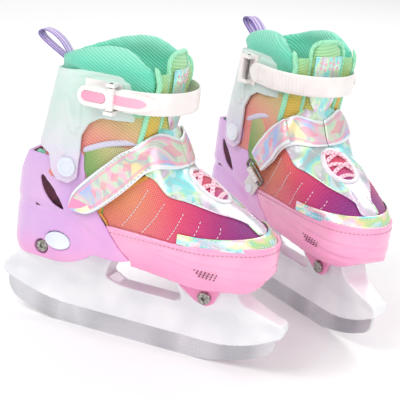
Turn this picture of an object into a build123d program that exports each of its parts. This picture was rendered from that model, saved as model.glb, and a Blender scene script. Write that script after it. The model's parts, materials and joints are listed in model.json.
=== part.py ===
"""A pair of adjustable ice skates: the right skate is modelled once, the left one is its mirror image.

Each skate is built with its toe towards +X, its outer side towards -Y and its blade on Z = 0.
"""
from build123d import *
from math import asin, cos, sin
import os

# ---------------------------------------------------------------- driving dimensions (mm)
# Stance of the pair: the right skate looks along +X, the left one is turned in towards it.
LEFT_AT = (87.0, 176.0)
LEFT_TURN = -35.0

# Travel of the moving pieces
SIZE_TRAVEL = 18.0
BUTTON_TRAVEL = 1.5
TAB_TRAVEL = 1.2

# Blade and holder
BLADE_THICKNESS = 3.0
HOLDER_HALF = 15.5
SOLE_Z = 92.0
TOE_SOLE_REAR = (6.0, 88.0)
TOE_SOLE_SLOPE = -0.07
FLOOR_THICKNESS = 2.6
FOOTBED_Z = 98.0

# Plan of the shells: circles (x, y, radius) whose hull is the outline seen from above
BOOT_PLAN = ((-98.0, 0.0, 33.0), (56.0, -7.0, 43.0), (62.0, 2.0, 41.0), (80.0, 2.0, 39.0))
SHELL_WALL = 3.0
SLIDE_GAP = 0.4

# Upper of the boot: section places along X with outer and inner half widths,
# the height where the wall starts to curve over, and the ridge height
UPPER_SECTIONS = (
    (-80.0, 35.0, 34.0, 190.0, 240.0),
    (-30.0, 40.0, 38.0, 180.0, 226.0),
    (5.0, 43.0, 39.5, 166.0, 212.0),
    (13.0, 43.5, 40.0, 158.0, 201.0),
    (26.0, 45.0, 41.0, 140.0, 177.0),
    (42.0, 47.0, 42.0, 133.0, 168.0),
    (62.0, 46.0, 42.0, 127.0, 156.0),
    (82.0, 40.0, 39.0, 122.0, 145.0),
    (100.0, 30.0, 33.0, 118.0, 135.0),
    (112.0, 18.0, 21.0, 114.0, 126.0),
)
UPPER_BASE_Z = 99.0
VAMP_THICKNESS = 1.6
OVERLAY_THICKNESS = 1.0
STRAP_GAP = 2.4
STRAP_THICKNESS = 2.4

# Cuff and its ankle pivot
REAR_RIM_Z = 168.5
PIVOT_X = -69.0
PIVOT_Z = 165.0
CUFF_HALF = 41.3
CUFF_FRONT_X = -30.0
CUFF_REAR_AT = (-78.0, 140.0)
CUFF_LEAN = 0.175
CUFF_WALL = 3.0
RIVET_DISC_RADIUS = 8.5
RIVET_RADIUS = 4.0
RUNNING_GAP = 0.05

# Bolts
BOLT_RADIUS = 3.0
BOLT_HEAD_RADIUS = 6.0
BOLT_HEAD_HEIGHT = 3.2
SOCKET_WIDTH = 4.0
FRONT_BOLT = (64.0, 67.0)
REAR_BOLT = (-92.0, 82.0)
LUG_OUTER = 18.5

# Size button
BUTTON_AT = (-74.5, 92.5)
BUTTON_LENGTH = 25.0
BUTTON_HEIGHT = 16.0
BUTTON_FACE_Y = -37.5

# Cuff strap, its medial anchor and its outer buckle
STRAP_Z = (225.0, 245.0)
CUFF_STRAP_RADIUS = 48.0
CUFF_STRAP_X = -20.0
CUFF_STRAP_THICKNESS = 2.2
ANCHOR_PIN = (-53.0, 46.9)
LEVER_PIN = (-30.0, -51.6)
PIN_RADIUS = 1.5

# Ring that the instep strap hangs from, on the medial side
RING_CENTRE = (-22.0, 44.6, 137.0)
RING_TILT = 31.7
RING_LENGTH = 30.0
RING_BAR = 1.25
RING_HALF = 4.0
WEBBING_RIVET = (-33.0, 117.0)

# Line over the instep, at y = 0, that the strap's free flap turns about
FLAP_LINE = ((16.1, 200.5), (30.1, 179.7))


# ---------------------------------------------------------------- helpers
def prism(points, y_low, y_high, corner=0.0):
    """Block with a side-view outline of (x, z) points, between two Y planes."""
    face = make_face(Polyline(*points, close=True))
    if corner:
        face = fillet(face.vertices(), corner)
    return Pos(0, y_high, 0) * extrude(Plane.XZ * face, amount=y_high - y_low)


def spread(face, y_low, y_high):
    """Block from a side-view sketch, between two Y planes."""
    return Pos(0, y_high, 0) * extrude(Plane.XZ * face, amount=y_high - y_low)


def plan_block(circles, inset, z_low, z_high):
    """Upright block whose plan is the hull of circles, each made smaller by the inset."""
    rings = [(Pos(x, y) * Circle(radius - inset)).edge() for x, y, radius in circles]
    return Pos(0, 0, z_low) * extrude(make_hull(rings), amount=z_high - z_low)


def rod_y(x, z, radius, y_low, y_high):
    """Round bar along Y."""
    return Pos(x, (y_low + y_high) / 2, z) * Rot(90, 0, 0) * Cylinder(radius, y_high - y_low)


def rod_z(x, y, radius, z_low, z_high):
    """Round bar along Z."""
    return Pos(x, y, (z_low + z_high) / 2) * Cylinder(radius, z_high - z_low)


def box(x_range, y_range, z_range):
    """Block given by its ranges."""
    size = [high - low for low, high in (x_range, y_range, z_range)]
    centre = [(high + low) / 2 for low, high in (x_range, y_range, z_range)]
    return Pos(*centre) * Box(*size)


def upper_form(grow):
    """Solid inside of the boot's upper, grown outwards by a distance."""
    sections = []
    for x, outer, inner, spring, ridge in UPPER_SECTIONS:
        left = outer + grow
        right = inner + grow
        rise = ridge + grow - spring
        edges = [
            Line((-left, UPPER_BASE_Z), (-left, spring)),
            EllipticalCenterArc((0, spring), left, rise, start_angle=90, arc_size=90),
            EllipticalCenterArc((0, spring), right, rise, start_angle=0, arc_size=90),
            Line((right, spring), (right, UPPER_BASE_Z)),
            Line((right, UPPER_BASE_Z), (-left, UPPER_BASE_Z)),
        ]
        plane = Plane(origin=(x, 0, 0), x_dir=(0, 1, 0), z_dir=(1, 0, 0))
        sections.append(plane * make_face(edges))
    return loft(sections, ruled=True)


def upper_skin(low, high):
    """Layer of the upper between two distances from its surface."""
    return upper_form(high) - upper_form(low)


def all_y(points, corner=0.0):
    """Side-view cutter that reaches past both sides of a skate."""
    return prism(points, -80, 80, corner)


# ---------------------------------------------------------------- blade and holder
def rocker_arc(x_flat, x_end, z_end):
    """Arc of the blade's edge that leaves the flat middle tangentially and ends at a point."""
    run = x_end - x_flat
    radius = (run ** 2 + z_end ** 2) / (2 * z_end)
    half_turn = asin(abs(run) / radius) / 2
    reach = radius * sin(half_turn)
    middle = (x_flat + (reach if run > 0 else -reach), radius - radius * cos(half_turn))
    return ThreePointArc((x_flat, 0), middle, (x_end, z_end))


def blade():
    """Steel runner with a flat middle and curved ends."""
    outline = [
        Line((-75, 0), (45, 0)),
        rocker_arc(45, 119, 18),
        ThreePointArc((119, 18), (127.5, 26), (129, 37)),
        Line((129, 37), (118, 41)),
        ThreePointArc((118, 41), (98, 31.5), (62, 28)),
        Line((62, 28), (-60, 28)),
        ThreePointArc((-60, 28), (-104, 33), (-128, 42)),
        Line((-128, 42), (-138, 36)),
        ThreePointArc((-138, 36), (-137, 22), (-126, 11)),
        rocker_arc(-75, -126, 11),
    ]
    return spread(make_face(outline), -BLADE_THICKNESS / 2, BLADE_THICKNESS / 2)


def sole_z(x):
    """Height of the toe shell's underside above a place along the skate."""
    return TOE_SOLE_REAR[1] + (x - TOE_SOLE_REAR[0]) * TOE_SOLE_SLOPE


def holder_profile():
    """Side view of the blade holder, without its window."""
    outline = [
        ThreePointArc((-138.5, 35), (-104, 24), (-56, 20)),
        Line((-56, 20), (62, 19.5)),
        ThreePointArc((62, 19.5), (104, 26), (130, 38)),
        ThreePointArc((130, 38), (137, 46), (135, 54)),
        ThreePointArc((135, 54), (115, 60), (101, 66)),
        ThreePointArc((101, 66), (93, 74), (92, sole_z(92))),
        Line((92, sole_z(92)), (20, sole_z(20))),
        Line((20, sole_z(20)), (-28, sole_z(20))),
        Line((-28, sole_z(20)), (-30, SOLE_Z - 1.2)),
        Line((-30, SOLE_Z - 1.2), (-118, SOLE_Z - 1.2)),
        Line((-118, SOLE_Z - 1.2), (-119.5, 75)),
        ThreePointArc((-119.5, 75), (-130, 60), (-142, 46)),
        ThreePointArc((-142, 46), (-142.5, 39), (-138.5, 35)),
    ]
    return make_face(outline)


def blade_holder():
    """Moulded holder: a rail that clasps the blade, and two towers that flare out to the sole."""
    front_view = [
        (-5.5, 10), (5.5, 10), (6.5, 45), (HOLDER_HALF - 3, 60), (HOLDER_HALF, 72),
        (HOLDER_HALF, 100), (-HOLDER_HALF, 100), (-HOLDER_HALF, 72), (-HOLDER_HALF + 3, 60), (-6.5, 45),
    ]
    across = Plane(origin=(-160, 0, 0), x_dir=(0, 1, 0), z_dir=(1, 0, 0))
    flare = extrude(across * make_face(Polyline(*front_view, close=True)), amount=320)
    body = spread(holder_profile(), -30, 30) & flare
    window = all_y([(-36, 60), (-22, 54.5), (34, 53.5), (40, 58), (20, 100), (-20, 100), (-31, 74)], 2.5)
    body -= window
    body -= blade()
    body -= rod_y(*FRONT_BOLT, BOLT_RADIUS, -30, 30)
    slot_end = REAR_BOLT[0] - SIZE_TRAVEL
    slot = Pos((REAR_BOLT[0] + slot_end) / 2, REAR_BOLT[1]) * SlotCenterToCenter(SIZE_TRAVEL, 2 * BOLT_RADIUS + 0.6)
    return body - spread(slot, -30, 30)


def bolt(at, seat):
    """Socket-head bolt along Y with its head on the outer side."""
    x, z = at
    head = rod_y(x, z, BOLT_HEAD_RADIUS, -seat - BOLT_HEAD_HEIGHT, -seat)
    head = chamfer(head.edges().group_by(Axis.Y)[0], 0.8)
    shank = rod_y(x, z, BOLT_RADIUS, -seat, seat + BOLT_HEAD_HEIGHT - 0.4)
    socket = spread(Pos(x, z) * RegularPolygon(SOCKET_WIDTH / 2 * 1.155, 6), -seat - 5, -seat - 1.2)
    return head + shank - socket


def nut(at, seat):
    """Round flanged nut on the inner side."""
    x, z = at
    ring = rod_y(x, z, BOLT_HEAD_RADIUS, seat, seat + BOLT_HEAD_HEIGHT)
    ring = chamfer(ring.edges().group_by(Axis.Y)[-1], 0.8)
    return ring - rod_y(x, z, BOLT_RADIUS, seat - 1, seat + 9)


# ---------------------------------------------------------------- toe shell and what it carries
REAR_EDGE = ((-0.5, 84.0), (-0.5, 93.0), (-14.0, 103.0), (-24.0, 114.0), (-39.0, 132.0), (-52.0, 158.0), (-54.0, 190.0))


def behind_rear_edge(shift):
    """Cutter for everything behind the rear shell's front edge, moved forward by a distance."""
    edge = [(x + shift, z) for x, z in REAR_EDGE]
    return all_y([(-200, 60)] + [(edge[0][0], 60)] + edge + [(-54 + shift, 300), (-200, 300)])


def toe_profile():
    """Side view of the toe shell."""
    outline = [
        Line((-46, 86), TOE_SOLE_REAR),
        Line(TOE_SOLE_REAR, (92, sole_z(92))),
        ThreePointArc((92, sole_z(92)), (113, 88), (119.5, 104)),
        Line((119.5, 104), (118.5, 124.5)),
        Polyline((118.5, 124.5), (92, 125.5), (40, 121), (-46, 119.5), (-46, 86)),
    ]
    return make_face(outline)


def toe_shell():
    """Front shell: sole tray with a toe bumper, lugs for the holder and a tongue that slides in the heel."""
    tray = plan_block(BOOT_PLAN, 0, 70, 130) & spread(toe_profile(), -60, 60)
    tray -= behind_rear_edge(0.5)
    sleeve = plan_block(BOOT_PLAN, SHELL_WALL + SLIDE_GAP, 95, 119.5) & box((-28, 4), (-60, 60), (95, 130))
    hollow = plan_block(BOOT_PLAN, 2 * SHELL_WALL + SLIDE_GAP, FOOTBED_Z, 140)
    floor_line = [(-60, FOOTBED_Z), (4, FOOTBED_Z), (95, 87), (112, 97), (112, 140), (-60, 140)]
    hollow &= all_y(floor_line)
    front_hollow = plan_block(BOOT_PLAN, SHELL_WALL, 80, 140)
    front_hollow &= all_y([(4, FOOTBED_Z), (95, 87), (116, 99), (116, 140), (4, 140)])
    slider = box((-104, 4), (-24, 24), (SOLE_Z + FLOOR_THICKNESS + SLIDE_GAP, FOOTBED_Z))
    lug = [(24, 90), (40, 71.5), (56, 61), (66, 58.5), (73, 63), (77, 74), (84, 86)]
    lugs = prism(lug, -LUG_OUTER, -HOLDER_HALF, 3) + prism(lug, HOLDER_HALF, LUG_OUTER, 3)
    shell = tray + sleeve - hollow - front_hollow + slider + lugs
    return shell - rod_y(*FRONT_BOLT, BOLT_RADIUS, -30, 30)


def insole():
    """Foam footbed on the shell's floor."""
    outline = [(-114, FOOTBED_Z), (4, FOOTBED_Z), (95, 87), (110, 96), (109, 99), (94, 91), (4, 101.5), (-114, 101.5)]
    return plan_block(BOOT_PLAN, 10.8, 80, 120) & all_y(outline)


def strap_lower_line(drop):
    """Cutter for what lies in front of and below the instep strap."""
    return all_y([
        (-70, 60), (-70, 124 - drop), (-48, 128 - drop), (-28, 141 - drop), (2, 166 - drop), (27, 176.6 - drop),
        (34, 240), (140, 240), (140, 60),
    ])


def vamp():
    """Mesh toe upper, sewn into the toe shell."""
    skin = upper_skin(-VAMP_THICKNESS, 0)
    skin &= plan_block(BOOT_PLAN, SHELL_WALL + 0.1, 112, 126) + box((-90, 130), (-80, 80), (126, 300))
    skin -= box((-90, 4.2), (-80, 80), (90, 121))
    skin -= behind_rear_edge(3.0)
    return skin & strap_lower_line(3.0)


def overlays():
    """Glossy trims sewn on the vamp: the saddle along the laces and the band round the toe."""
    layer = upper_skin(0, OVERLAY_THICKNESS) - behind_rear_edge(3.0)
    layer &= strap_lower_line(3.0)
    saddle_side = all_y([(-20, 150), (26, 152), (60, 138), (100, 131.5), (104, 140), (104, 190), (-20, 190)])
    lace_gap = Plane.XY * (Pos(52, -1) * SlotCenterToCenter(34, 27))
    saddle = (layer & saddle_side) - extrude(lace_gap, amount=300)
    band = layer & all_y([(46, 126.5), (112, 126.5), (112, 134), (88, 133), (46, 131)])
    band = max(band.solids(), key=lambda solid: solid.volume)
    saddle = max(saddle.solids(), key=lambda solid: solid.volume)
    return [saddle, band]


def laces():
    """Lace across the throat: rows that cross each other over the vamp, each a flat-topped bar."""
    rows = []
    for low_x, high_x in ((36.0, 44.0), (45.5, 53.5), (55.0, 63.0)):
        skin = upper_skin(OVERLAY_THICKNESS + 0.2, OVERLAY_THICKNESS + 3.4)
        band = all_y([(low_x, 100), (low_x + 5, 100), (high_x, 230), (low_x + 3, 230)])
        row = (skin & band) & box((0, 120), (-14, 12), (100, 230))
        rows.append(max(row.solids(), key=lambda solid: solid.volume))
    return rows


# ---------------------------------------------------------------- rear shell and what it carries
def rear_profile():
    """Side view of the rear shell."""
    underside = [(-126, 72), (-118, 70), (-72, 71.5), (-58, 76), (-46, 82), (-38, 88.4), (-14, 88.4)]
    ear = [(-55, 176), (-62, 183), (-76, 183), (-86, 174), (-92, REAR_RIM_Z), (-114, REAR_RIM_Z)]
    back = [(-123.5, 148), (-130, 120), (-132, 100), (-130, 86)]
    return make_face(Polyline(*underside, *REAR_EDGE[1:6], *ear, *back, close=True))


def vent_slot():
    """Leaf-shaped vent through both flanks."""
    leaf = make_face([
        ThreePointArc((-98, 151), (-85, 140), (-71, 122)),
        ThreePointArc((-71, 122), (-90, 131), (-98, 151)),
    ])
    return spread(leaf, -80, 80)


def rear_shell():
    """Heel shell: carries the cuff pivots, hangs a skirt over the holder's rear tower, slides on the toe shell."""
    shell = plan_block(BOOT_PLAN, 0, 60, 200) & spread(rear_profile(), -60, 60)
    hollow = plan_block(BOOT_PLAN, SHELL_WALL, 50, 210)
    back_wall = all_y([(-129, 50), (-129, 100), (-127, 120), (-109, 172), (-108, 220), (60, 220), (60, 50)])
    shell -= hollow & back_wall
    floor = plan_block(BOOT_PLAN, SHELL_WALL - 0.5, SOLE_Z, SOLE_Z + FLOOR_THICKNESS)
    floor &= box((-131, -3), (-60, 60), (80, 120))
    shell += floor
    for side in (-1, 1):
        reach = sorted((side * (HOLDER_HALF + 0.5), side * 32.5))
        shell += rod_y(*REAR_BOLT, 9.5, *reach) & box((-200, 0), (-60, 60), (60, SOLE_Z + 1))
        pivot_pad = sorted((side * 33.0, side * 37.2))
        shell += rod_y(PIVOT_X, PIVOT_Z, 12.0, *pivot_pad)
        recess = sorted((side * 28.5, side * 60.0))
        shell -= rod_y(*REAR_BOLT, BOLT_HEAD_RADIUS + 1.2, *recess)
    shell -= rod_y(*REAR_BOLT, BOLT_RADIUS, -60, 60)
    shell -= rod_y(PIVOT_X, PIVOT_Z, RIVET_RADIUS, -60, 60)
    shell -= vent_slot()
    x, z = BUTTON_AT
    opening = Pos(x, z) * Ellipse(BUTTON_LENGTH / 2 + 0.4, BUTTON_HEIGHT / 2 + 0.4)
    shell -= spread(opening, -60, -24.6)
    pocket = box((x - 16, x + 16), (-60, -24.6), (SOLE_Z - 12, SOLE_Z + 12))
    shell -= pocket & plan_block(BOOT_PLAN, SHELL_WALL, 70, 110) - rod_y(*REAR_BOLT, 9.6, -60, 60)
    seat = box((x - 4, x + 4), (-19.5, -17.5), (84, SOLE_Z + 1))
    shell += seat
    shell -= rod_y(*WEBBING_RIVET, 2.0, 20, 60)
    return max(shell.solids(), key=lambda solid: solid.volume)


def heel_liner():
    """Padded heel cup inside the rear shell."""
    outer = plan_block(BOOT_PLAN, SHELL_WALL + 2.2, FOOTBED_Z + 4.2, 169.6)
    inner = plan_block(BOOT_PLAN, SHELL_WALL + 8.0, FOOTBED_Z, 190)
    region = all_y([(-125.5, 100), (-51, 100), (-51, 119.8), (-44, 119.8), (-58, 150), (-62, 169.6), (-107.5, 169.6), (-124.5, 118)])
    cup = (outer - inner) & region
    cup -= rod_y(PIVOT_X, PIVOT_Z, 9.5, -60, 60)
    return cup


def size_button():
    """Oval push button that frees the size slide."""
    x, z = BUTTON_AT
    face = spread(Pos(x, z) * Ellipse(BUTTON_LENGTH / 2, BUTTON_HEIGHT / 2), BUTTON_FACE_Y, -28.6)
    face = fillet(face.edges().group_by(Axis.Y)[0], 1.2)
    rim = spread(Pos(x, z) * Ellipse(BUTTON_LENGTH / 2 + 0.2, BUTTON_HEIGHT / 2 + 1.6), -30.4, -28.6)
    return (face + rim) - rod_y(*REAR_BOLT, 10.0, -36.0, 0)


def button_spring():
    """Coil spring behind the size button, drawn as its sleeve."""
    x, z = BUTTON_AT
    free_end = -28.6 + BUTTON_TRAVEL + 0.1
    return rod_y(x, z - 5.0, 2.8, free_end, -19.5) - rod_y(x, z - 5.0, 1.9, -30.0, -19.0)


def ring_frame(shape):
    """Places a shape drawn about the ring's own centre: X along its bars, Z up the strap."""
    return Pos(*RING_CENTRE) * Rot(0, RING_TILT, 0) * shape


def along_bar(radius, length, height):
    """Round bar along the ring's bars at a height up the strap."""
    return ring_frame(Pos(0, 0, height) * Rot(0, 90, 0) * Cylinder(radius, length))


def strap_ring():
    """Rectangular wire ring."""
    path = Rectangle(RING_LENGTH, 2 * RING_HALF)
    path = fillet(path.vertices(), 3.0).wires()[0]
    start = path @ 0
    section = Plane(origin=start, z_dir=path % 0) * Circle(RING_BAR)
    wire = sweep(section, path)
    return Pos(*RING_CENTRE) * Rot(0, RING_TILT, 0) * Rot(90, 0, 0) * wire


def strap_webbing():
    """Webbing tab that runs from the rivet round the ring's lower bar."""
    tab = ring_frame(Pos(0, 0, -16) * Box(18, 1.6, 20))
    tab = Pos(0, 39.4 - RING_CENTRE[1], 0) * tab
    eye = along_bar(RING_BAR + 1.7, 18, -RING_HALF)
    bridge = ring_frame(Pos(0, -2.4, -6.6) * Box(18, 6.0, 1.7))
    tab = tab + eye + bridge - along_bar(RING_BAR + 0.1, 40, -RING_HALF)
    tab -= rod_y(*WEBBING_RIVET, 2.0, 20, 60)
    return max(tab.solids(), key=lambda solid: solid.volume)


def tongue():
    """Padded tongue that stands behind the strap and tucks under the throat."""
    outline = [
        (11.5, 276), (14, 262), (12, 216), (9.2, 202), (9.2, 199), (17.5, 184), (12, 176), (1, 196), (1, 216), (2.5, 262), (0, 274),
    ]
    plate = prism(outline, -20.5, 20.5)
    under_strap = upper_form(0.8) + box((-60, 60), (-60, 60), (196, 300))
    return max((plate & under_strap).solids(), key=lambda solid: solid.volume)


# ---------------------------------------------------------------- cuff and what it carries
def sleeve(inset, z_low, z_high):
    """Ankle sleeve: its plan is the hull of two circles, and the rear one moves forward with height."""
    ends = []
    for z in (z_low, z_high):
        rear_x = CUFF_REAR_AT[0] + (z - CUFF_REAR_AT[1]) * CUFF_LEAN
        rings = [(Pos(x, 0) * Circle(CUFF_HALF - inset)).edge() for x in (rear_x, CUFF_FRONT_X)]
        ends.append(Pos(0, 0, z) * make_hull(rings))
    return loft(ends, ruled=True)


def cuff_outline():
    """Side view of the cuff's edges."""
    points = [
        (-140, 242), (-106, 242), (-92, 247), (-70, 251.5), (-40, 257.5), (-14, 256.5), (12, 248), (12, 220),
        (0, 216), (-42, 213.5), (-52, 207), (-58.5, 195), (-58.5, 178), (-59.5, 156), (-67, 149.3), (-78, 150),
        (-86, 158), (-90, 172), (-112, 174.5), (-140, 174.5),
    ]
    return make_face(Polyline(*points, close=True))


def cuff():
    """Ankle cuff, open at the front, with a small window at the heel and a pivot hole each side."""
    wall = sleeve(0, 140, 262) - sleeve(CUFF_WALL, 130, 270)
    wall &= spread(cuff_outline(), -60, 60)
    wall -= box((-20, 60), (-23, 23), (100, 300))
    wall -= box((-130, -90), (-20, 20), (181, 203))
    wall -= rod_y(PIVOT_X, PIVOT_Z, RIVET_RADIUS + RUNNING_GAP, -60, 60)
    return wall


def shell_rivets():
    """The rear shell's rivets: one for the ring's webbing, and two cuff pivots with broad discs."""
    x, z = WEBBING_RIVET
    head = rod_y(x, z, 4.5, 40.2, 41.8)
    shaft = rod_y(x, z, 2.0, 33.6, 40.2)
    rivets = [head + shaft + rod_y(x, z, 3.2, 32.5, 33.6)]
    for side in (-1, 1):
        outer = CUFF_HALF
        disc = rod_y(PIVOT_X, PIVOT_Z, RIVET_DISC_RADIUS, *sorted((side * (outer + 0.15), side * (outer + 3.0))))
        stem = rod_y(PIVOT_X, PIVOT_Z, RIVET_RADIUS, *sorted((side * 31.2, side * (outer + 0.15))))
        tail = rod_y(PIVOT_X, PIVOT_Z, 6.5, *sorted((side * 29.0, side * 31.2)))
        rivets.append(disc + stem + tail)
    return rivets


def collar():
    """Padded collar that rises out of the cuff."""
    outer = sleeve(CUFF_WALL + 0.6, 170, 262) + sleeve(1.5, 258.2, 277)
    inner = sleeve(CUFF_WALL + 12.0, 160, 290)
    outline = [
        (-107, 190), (-90, 187), (-58, 190), (-30, 198), (12, 210), (12, 246), (8, 262), (-4, 272), (-24, 277.5),
        (-52, 274), (-80, 267), (-104, 259), (-107, 250),
    ]
    ring = (outer - inner) & all_y(outline)
    return ring - box((-20, 60), (-22.5, 22.5), (100, 300))


def pull_loop():
    """Ribbon loop sewn on the back of the collar."""
    outline = [
        (-96, 247), (-106, 251.5), (-119, 258.5), (-126, 265), (-125.5, 271), (-118, 274), (-107, 272.5),
        (-99, 266), (-96, 258),
    ]
    face = make_face(Polyline(*outline, close=True))
    face = fillet(face.vertices(), 1.5)
    loop = spread(face, -7, 7) - spread(offset(face, -1.2), -8, 8)
    return loop - collar()


def strap_anchor():
    """Inner bracket: base, two lugs round the strap's pin and an upright bar behind it."""
    x, y = ANCHOR_PIN
    outer = CUFF_HALF
    low, high = STRAP_Z
    base = box((-66, -44), (outer, outer + 1.7), (low - 5, high + 5))
    bar = box((-63.5, -57.5), (outer + 1.5, outer + 9.4), (low - 4.5, high + 4.5))
    bar = fillet(bar.edges().filter_by(Axis.Z).group_by(Axis.Y)[-1], 2.0)
    lugs = box((x - 5, x + 4), (outer + 1.5, y + 3.2), (low - 4, low - 0.6))
    lugs += box((x - 5, x + 4), (outer + 1.5, y + 3.2), (high + 0.6, high + 4))
    return base + bar + lugs - rod_z(x, y, PIN_RADIUS, 200, 270)


def buckle_base():
    """Outer buckle frame: base plate, closing pad and two lugs round the lever's pin."""
    x, y = LEVER_PIN
    outer = CUFF_HALF
    low, high = STRAP_Z
    base = box((-58, -24), (-outer - 1.7, -outer), (low - 2, high + 2))
    pad = box((-56, -37), (-49.0, -outer - 1.5), (low + 4, high - 4))
    lugs = box((x - 4, x + 4), (y - 3.0, -outer - 1.5), (low - 3.6, low - 0.6))
    lugs += box((x - 4, x + 4), (y - 3.0, -outer - 1.5), (high + 0.6, high + 3.6))
    return base + pad + lugs - rod_z(x, y, PIN_RADIUS, 200, 270)


def strap_pins():
    """Steel pins of the strap's anchor and of the lever."""
    low, high = STRAP_Z
    anchor_pin = rod_z(*ANCHOR_PIN, PIN_RADIUS, low - 4.5, high + 4.5)
    lever_pin = rod_z(*LEVER_PIN, PIN_RADIUS, low - 4.1, high + 4.1)
    return [anchor_pin, lever_pin]


def lever_pocket(gap):
    """Long round-ended recess of the lever for its release tab."""
    low, high = STRAP_Z
    slot = Pos(-44.2, (low + high) / 2) * SlotOverall(22.0 + 2 * gap, 8.4 + 2 * gap)
    return slot


def buckle_lever():
    """Buckle lever, hinged at its front end."""
    x, y = LEVER_PIN
    low, high = STRAP_Z
    side = Pos(-43.5, (low + high) / 2) * SlotOverall(31.0, 17.6)
    plate = spread(side, -55.0, -49.4) & box((-60, x + 0.5), (-60, -40), (low, high))
    knuckle = rod_z(x, y, 3.2, low + 0.3, high - 0.3)
    lever = plate + knuckle
    lever -= spread(lever_pocket(0.3), -60.0, -52.2)
    return lever - rod_z(x, y, PIN_RADIUS + RUNNING_GAP, 200, 270)


def release_tab():
    """Release tab let into the lever."""
    tab = spread(lever_pocket(0), -55.8, -52.2 - TAB_TRAVEL - 0.1)
    return fillet(tab.edges().group_by(Axis.Y)[0], 0.6)


def cuff_strap():
    """Moulded strap that goes round the front of the ankle."""
    low, high = STRAP_Z
    outer = CUFF_STRAP_RADIUS
    inner = outer - CUFF_STRAP_THICKNESS
    x, y = ANCHOR_PIN
    plan = Circle(outer) - Circle(inner)
    plan = Pos(CUFF_STRAP_X, 0) * (plan & (Pos(50, 0) * Rectangle(100, 200)))
    inside_leg = Pos((x + CUFF_STRAP_X) / 2, (outer + inner) / 2) * Rectangle(CUFF_STRAP_X - x, outer - inner)
    tail = Pos(-26.0, -(outer + inner) / 2) * Rectangle(12.0, outer - inner)
    plan = plan + inside_leg + tail + Pos(x, y) * Circle(3.4)
    plan -= Pos(x, y) * Circle(PIN_RADIUS + RUNNING_GAP)
    return Pos(0, 0, low) * extrude(plan, amount=high - low)


# ---------------------------------------------------------------- instep strap
def strap_layer():
    """The layer over the upper that the instep strap lies in."""
    return upper_skin(STRAP_GAP, STRAP_GAP + STRAP_THICKNESS)


def strap_flap():
    """Free flap of the instep strap, from the instep down the outer flank."""
    outline = [
        (-64, 128), (-46, 130), (-28, 141), (2, 169), (30, 179), (16, 205), (-6, 196), (-26, 181), (-50, 159), (-69, 140),
    ]
    flap = strap_layer() & prism(outline, -80, -0.05)
    return max(flap.solids(), key=lambda solid: solid.volume)


def instep_strap():
    """Fixed half of the instep strap, from the instep down to the ring on the inner side."""
    outline = [(-18, 139), (2, 156), (16, 172), (30, 179), (16, 205), (0, 198), (-18, 178), (-42, 149)]
    strap = strap_layer() & prism(outline, 0.05, 80)
    eye = along_bar(RING_BAR + 1.7, 24, RING_HALF)
    neck = ring_frame(Pos(0, -0.6, RING_HALF + 4.5) * Box(24, 2.6, 8.0))
    strap = strap + eye + neck - along_bar(RING_BAR + 0.08, 60, RING_HALF)
    strap -= ring_frame(Pos(0, 0, -3.3) * Box(60, 12, 12.0))
    return max(strap.solids(), key=lambda solid: solid.volume)


# ---------------------------------------------------------------- the pair
NODES = {
    "blade": blade,
    "blade_holder": blade_holder,
    "toe_shell": toe_shell,
    "front_bolt": lambda: bolt(FRONT_BOLT, LUG_OUTER),
    "front_nut": lambda: nut(FRONT_BOLT, LUG_OUTER),
    "insole": insole,
    "vamp": vamp,
    "vamp_overlays": overlays,
    "laces": laces,
    "rear_shell": rear_shell,
    "rear_bolt": lambda: bolt(REAR_BOLT, 28.5),
    "rear_nut": lambda: nut(REAR_BOLT, 28.5),
    "heel_liner": heel_liner,
    "size_button": size_button,
    "button_spring": button_spring,
    "tongue": tongue,
    "strap_webbing": strap_webbing,
    "strap_ring": strap_ring,
    "instep_strap": instep_strap,
    "strap_flap": strap_flap,
    "cuff": cuff,
    "shell_rivets": shell_rivets,
    "collar": collar,
    "pull_loop": pull_loop,
    "strap_anchor": strap_anchor,
    "strap_pins": strap_pins,
    "buckle_base": buckle_base,
    "buckle_lever": buckle_lever,
    "release_tab": release_tab,
    "cuff_strap": cuff_strap,
}


def as_shape(made):
    """One shape from a solid or a list of solids."""
    solids = []
    for item in made if isinstance(made, list) else [made]:
        solids.extend(item.solids())
    return solids[0] if len(solids) == 1 else Compound(solids)


def build_pair():
    """Both skates' nodes at rest, with the pair centred on the floor, and the shift that centred it."""
    right = {name: as_shape(make()) for name, make in NODES.items()}
    left = {
        name: Pos(*LEFT_AT, 0) * Rot(0, 0, LEFT_TURN) * mirror(shape, about=Plane.XZ)
        for name, shape in right.items()
    }
    extent = Compound(list(right.values()) + list(left.values())).bounding_box()
    shift = (-extent.center().X, -extent.center().Y, -extent.min.Z)
    nodes = {f"right_{name}": Pos(*shift) * shape for name, shape in right.items()}
    nodes.update({f"left_{name}": Pos(*shift) * shape for name, shape in left.items()})
    return nodes, shift


def main():
    """Writes one STEP file for each node."""
    os.makedirs("parts", exist_ok=True)
    nodes, shift = build_pair()
    for name, shape in nodes.items():
        export_step(shape, f"parts/{name}.step")
    print("shift of the pair", [round(value, 3) for value in shift])


if __name__ == "__main__":
    main()
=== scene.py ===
"""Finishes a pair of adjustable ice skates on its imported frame, laid out as an add-on."""

import json
import math

import bmesh
import bpy
import numpy as np
from mathutils import Matrix, Vector


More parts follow.
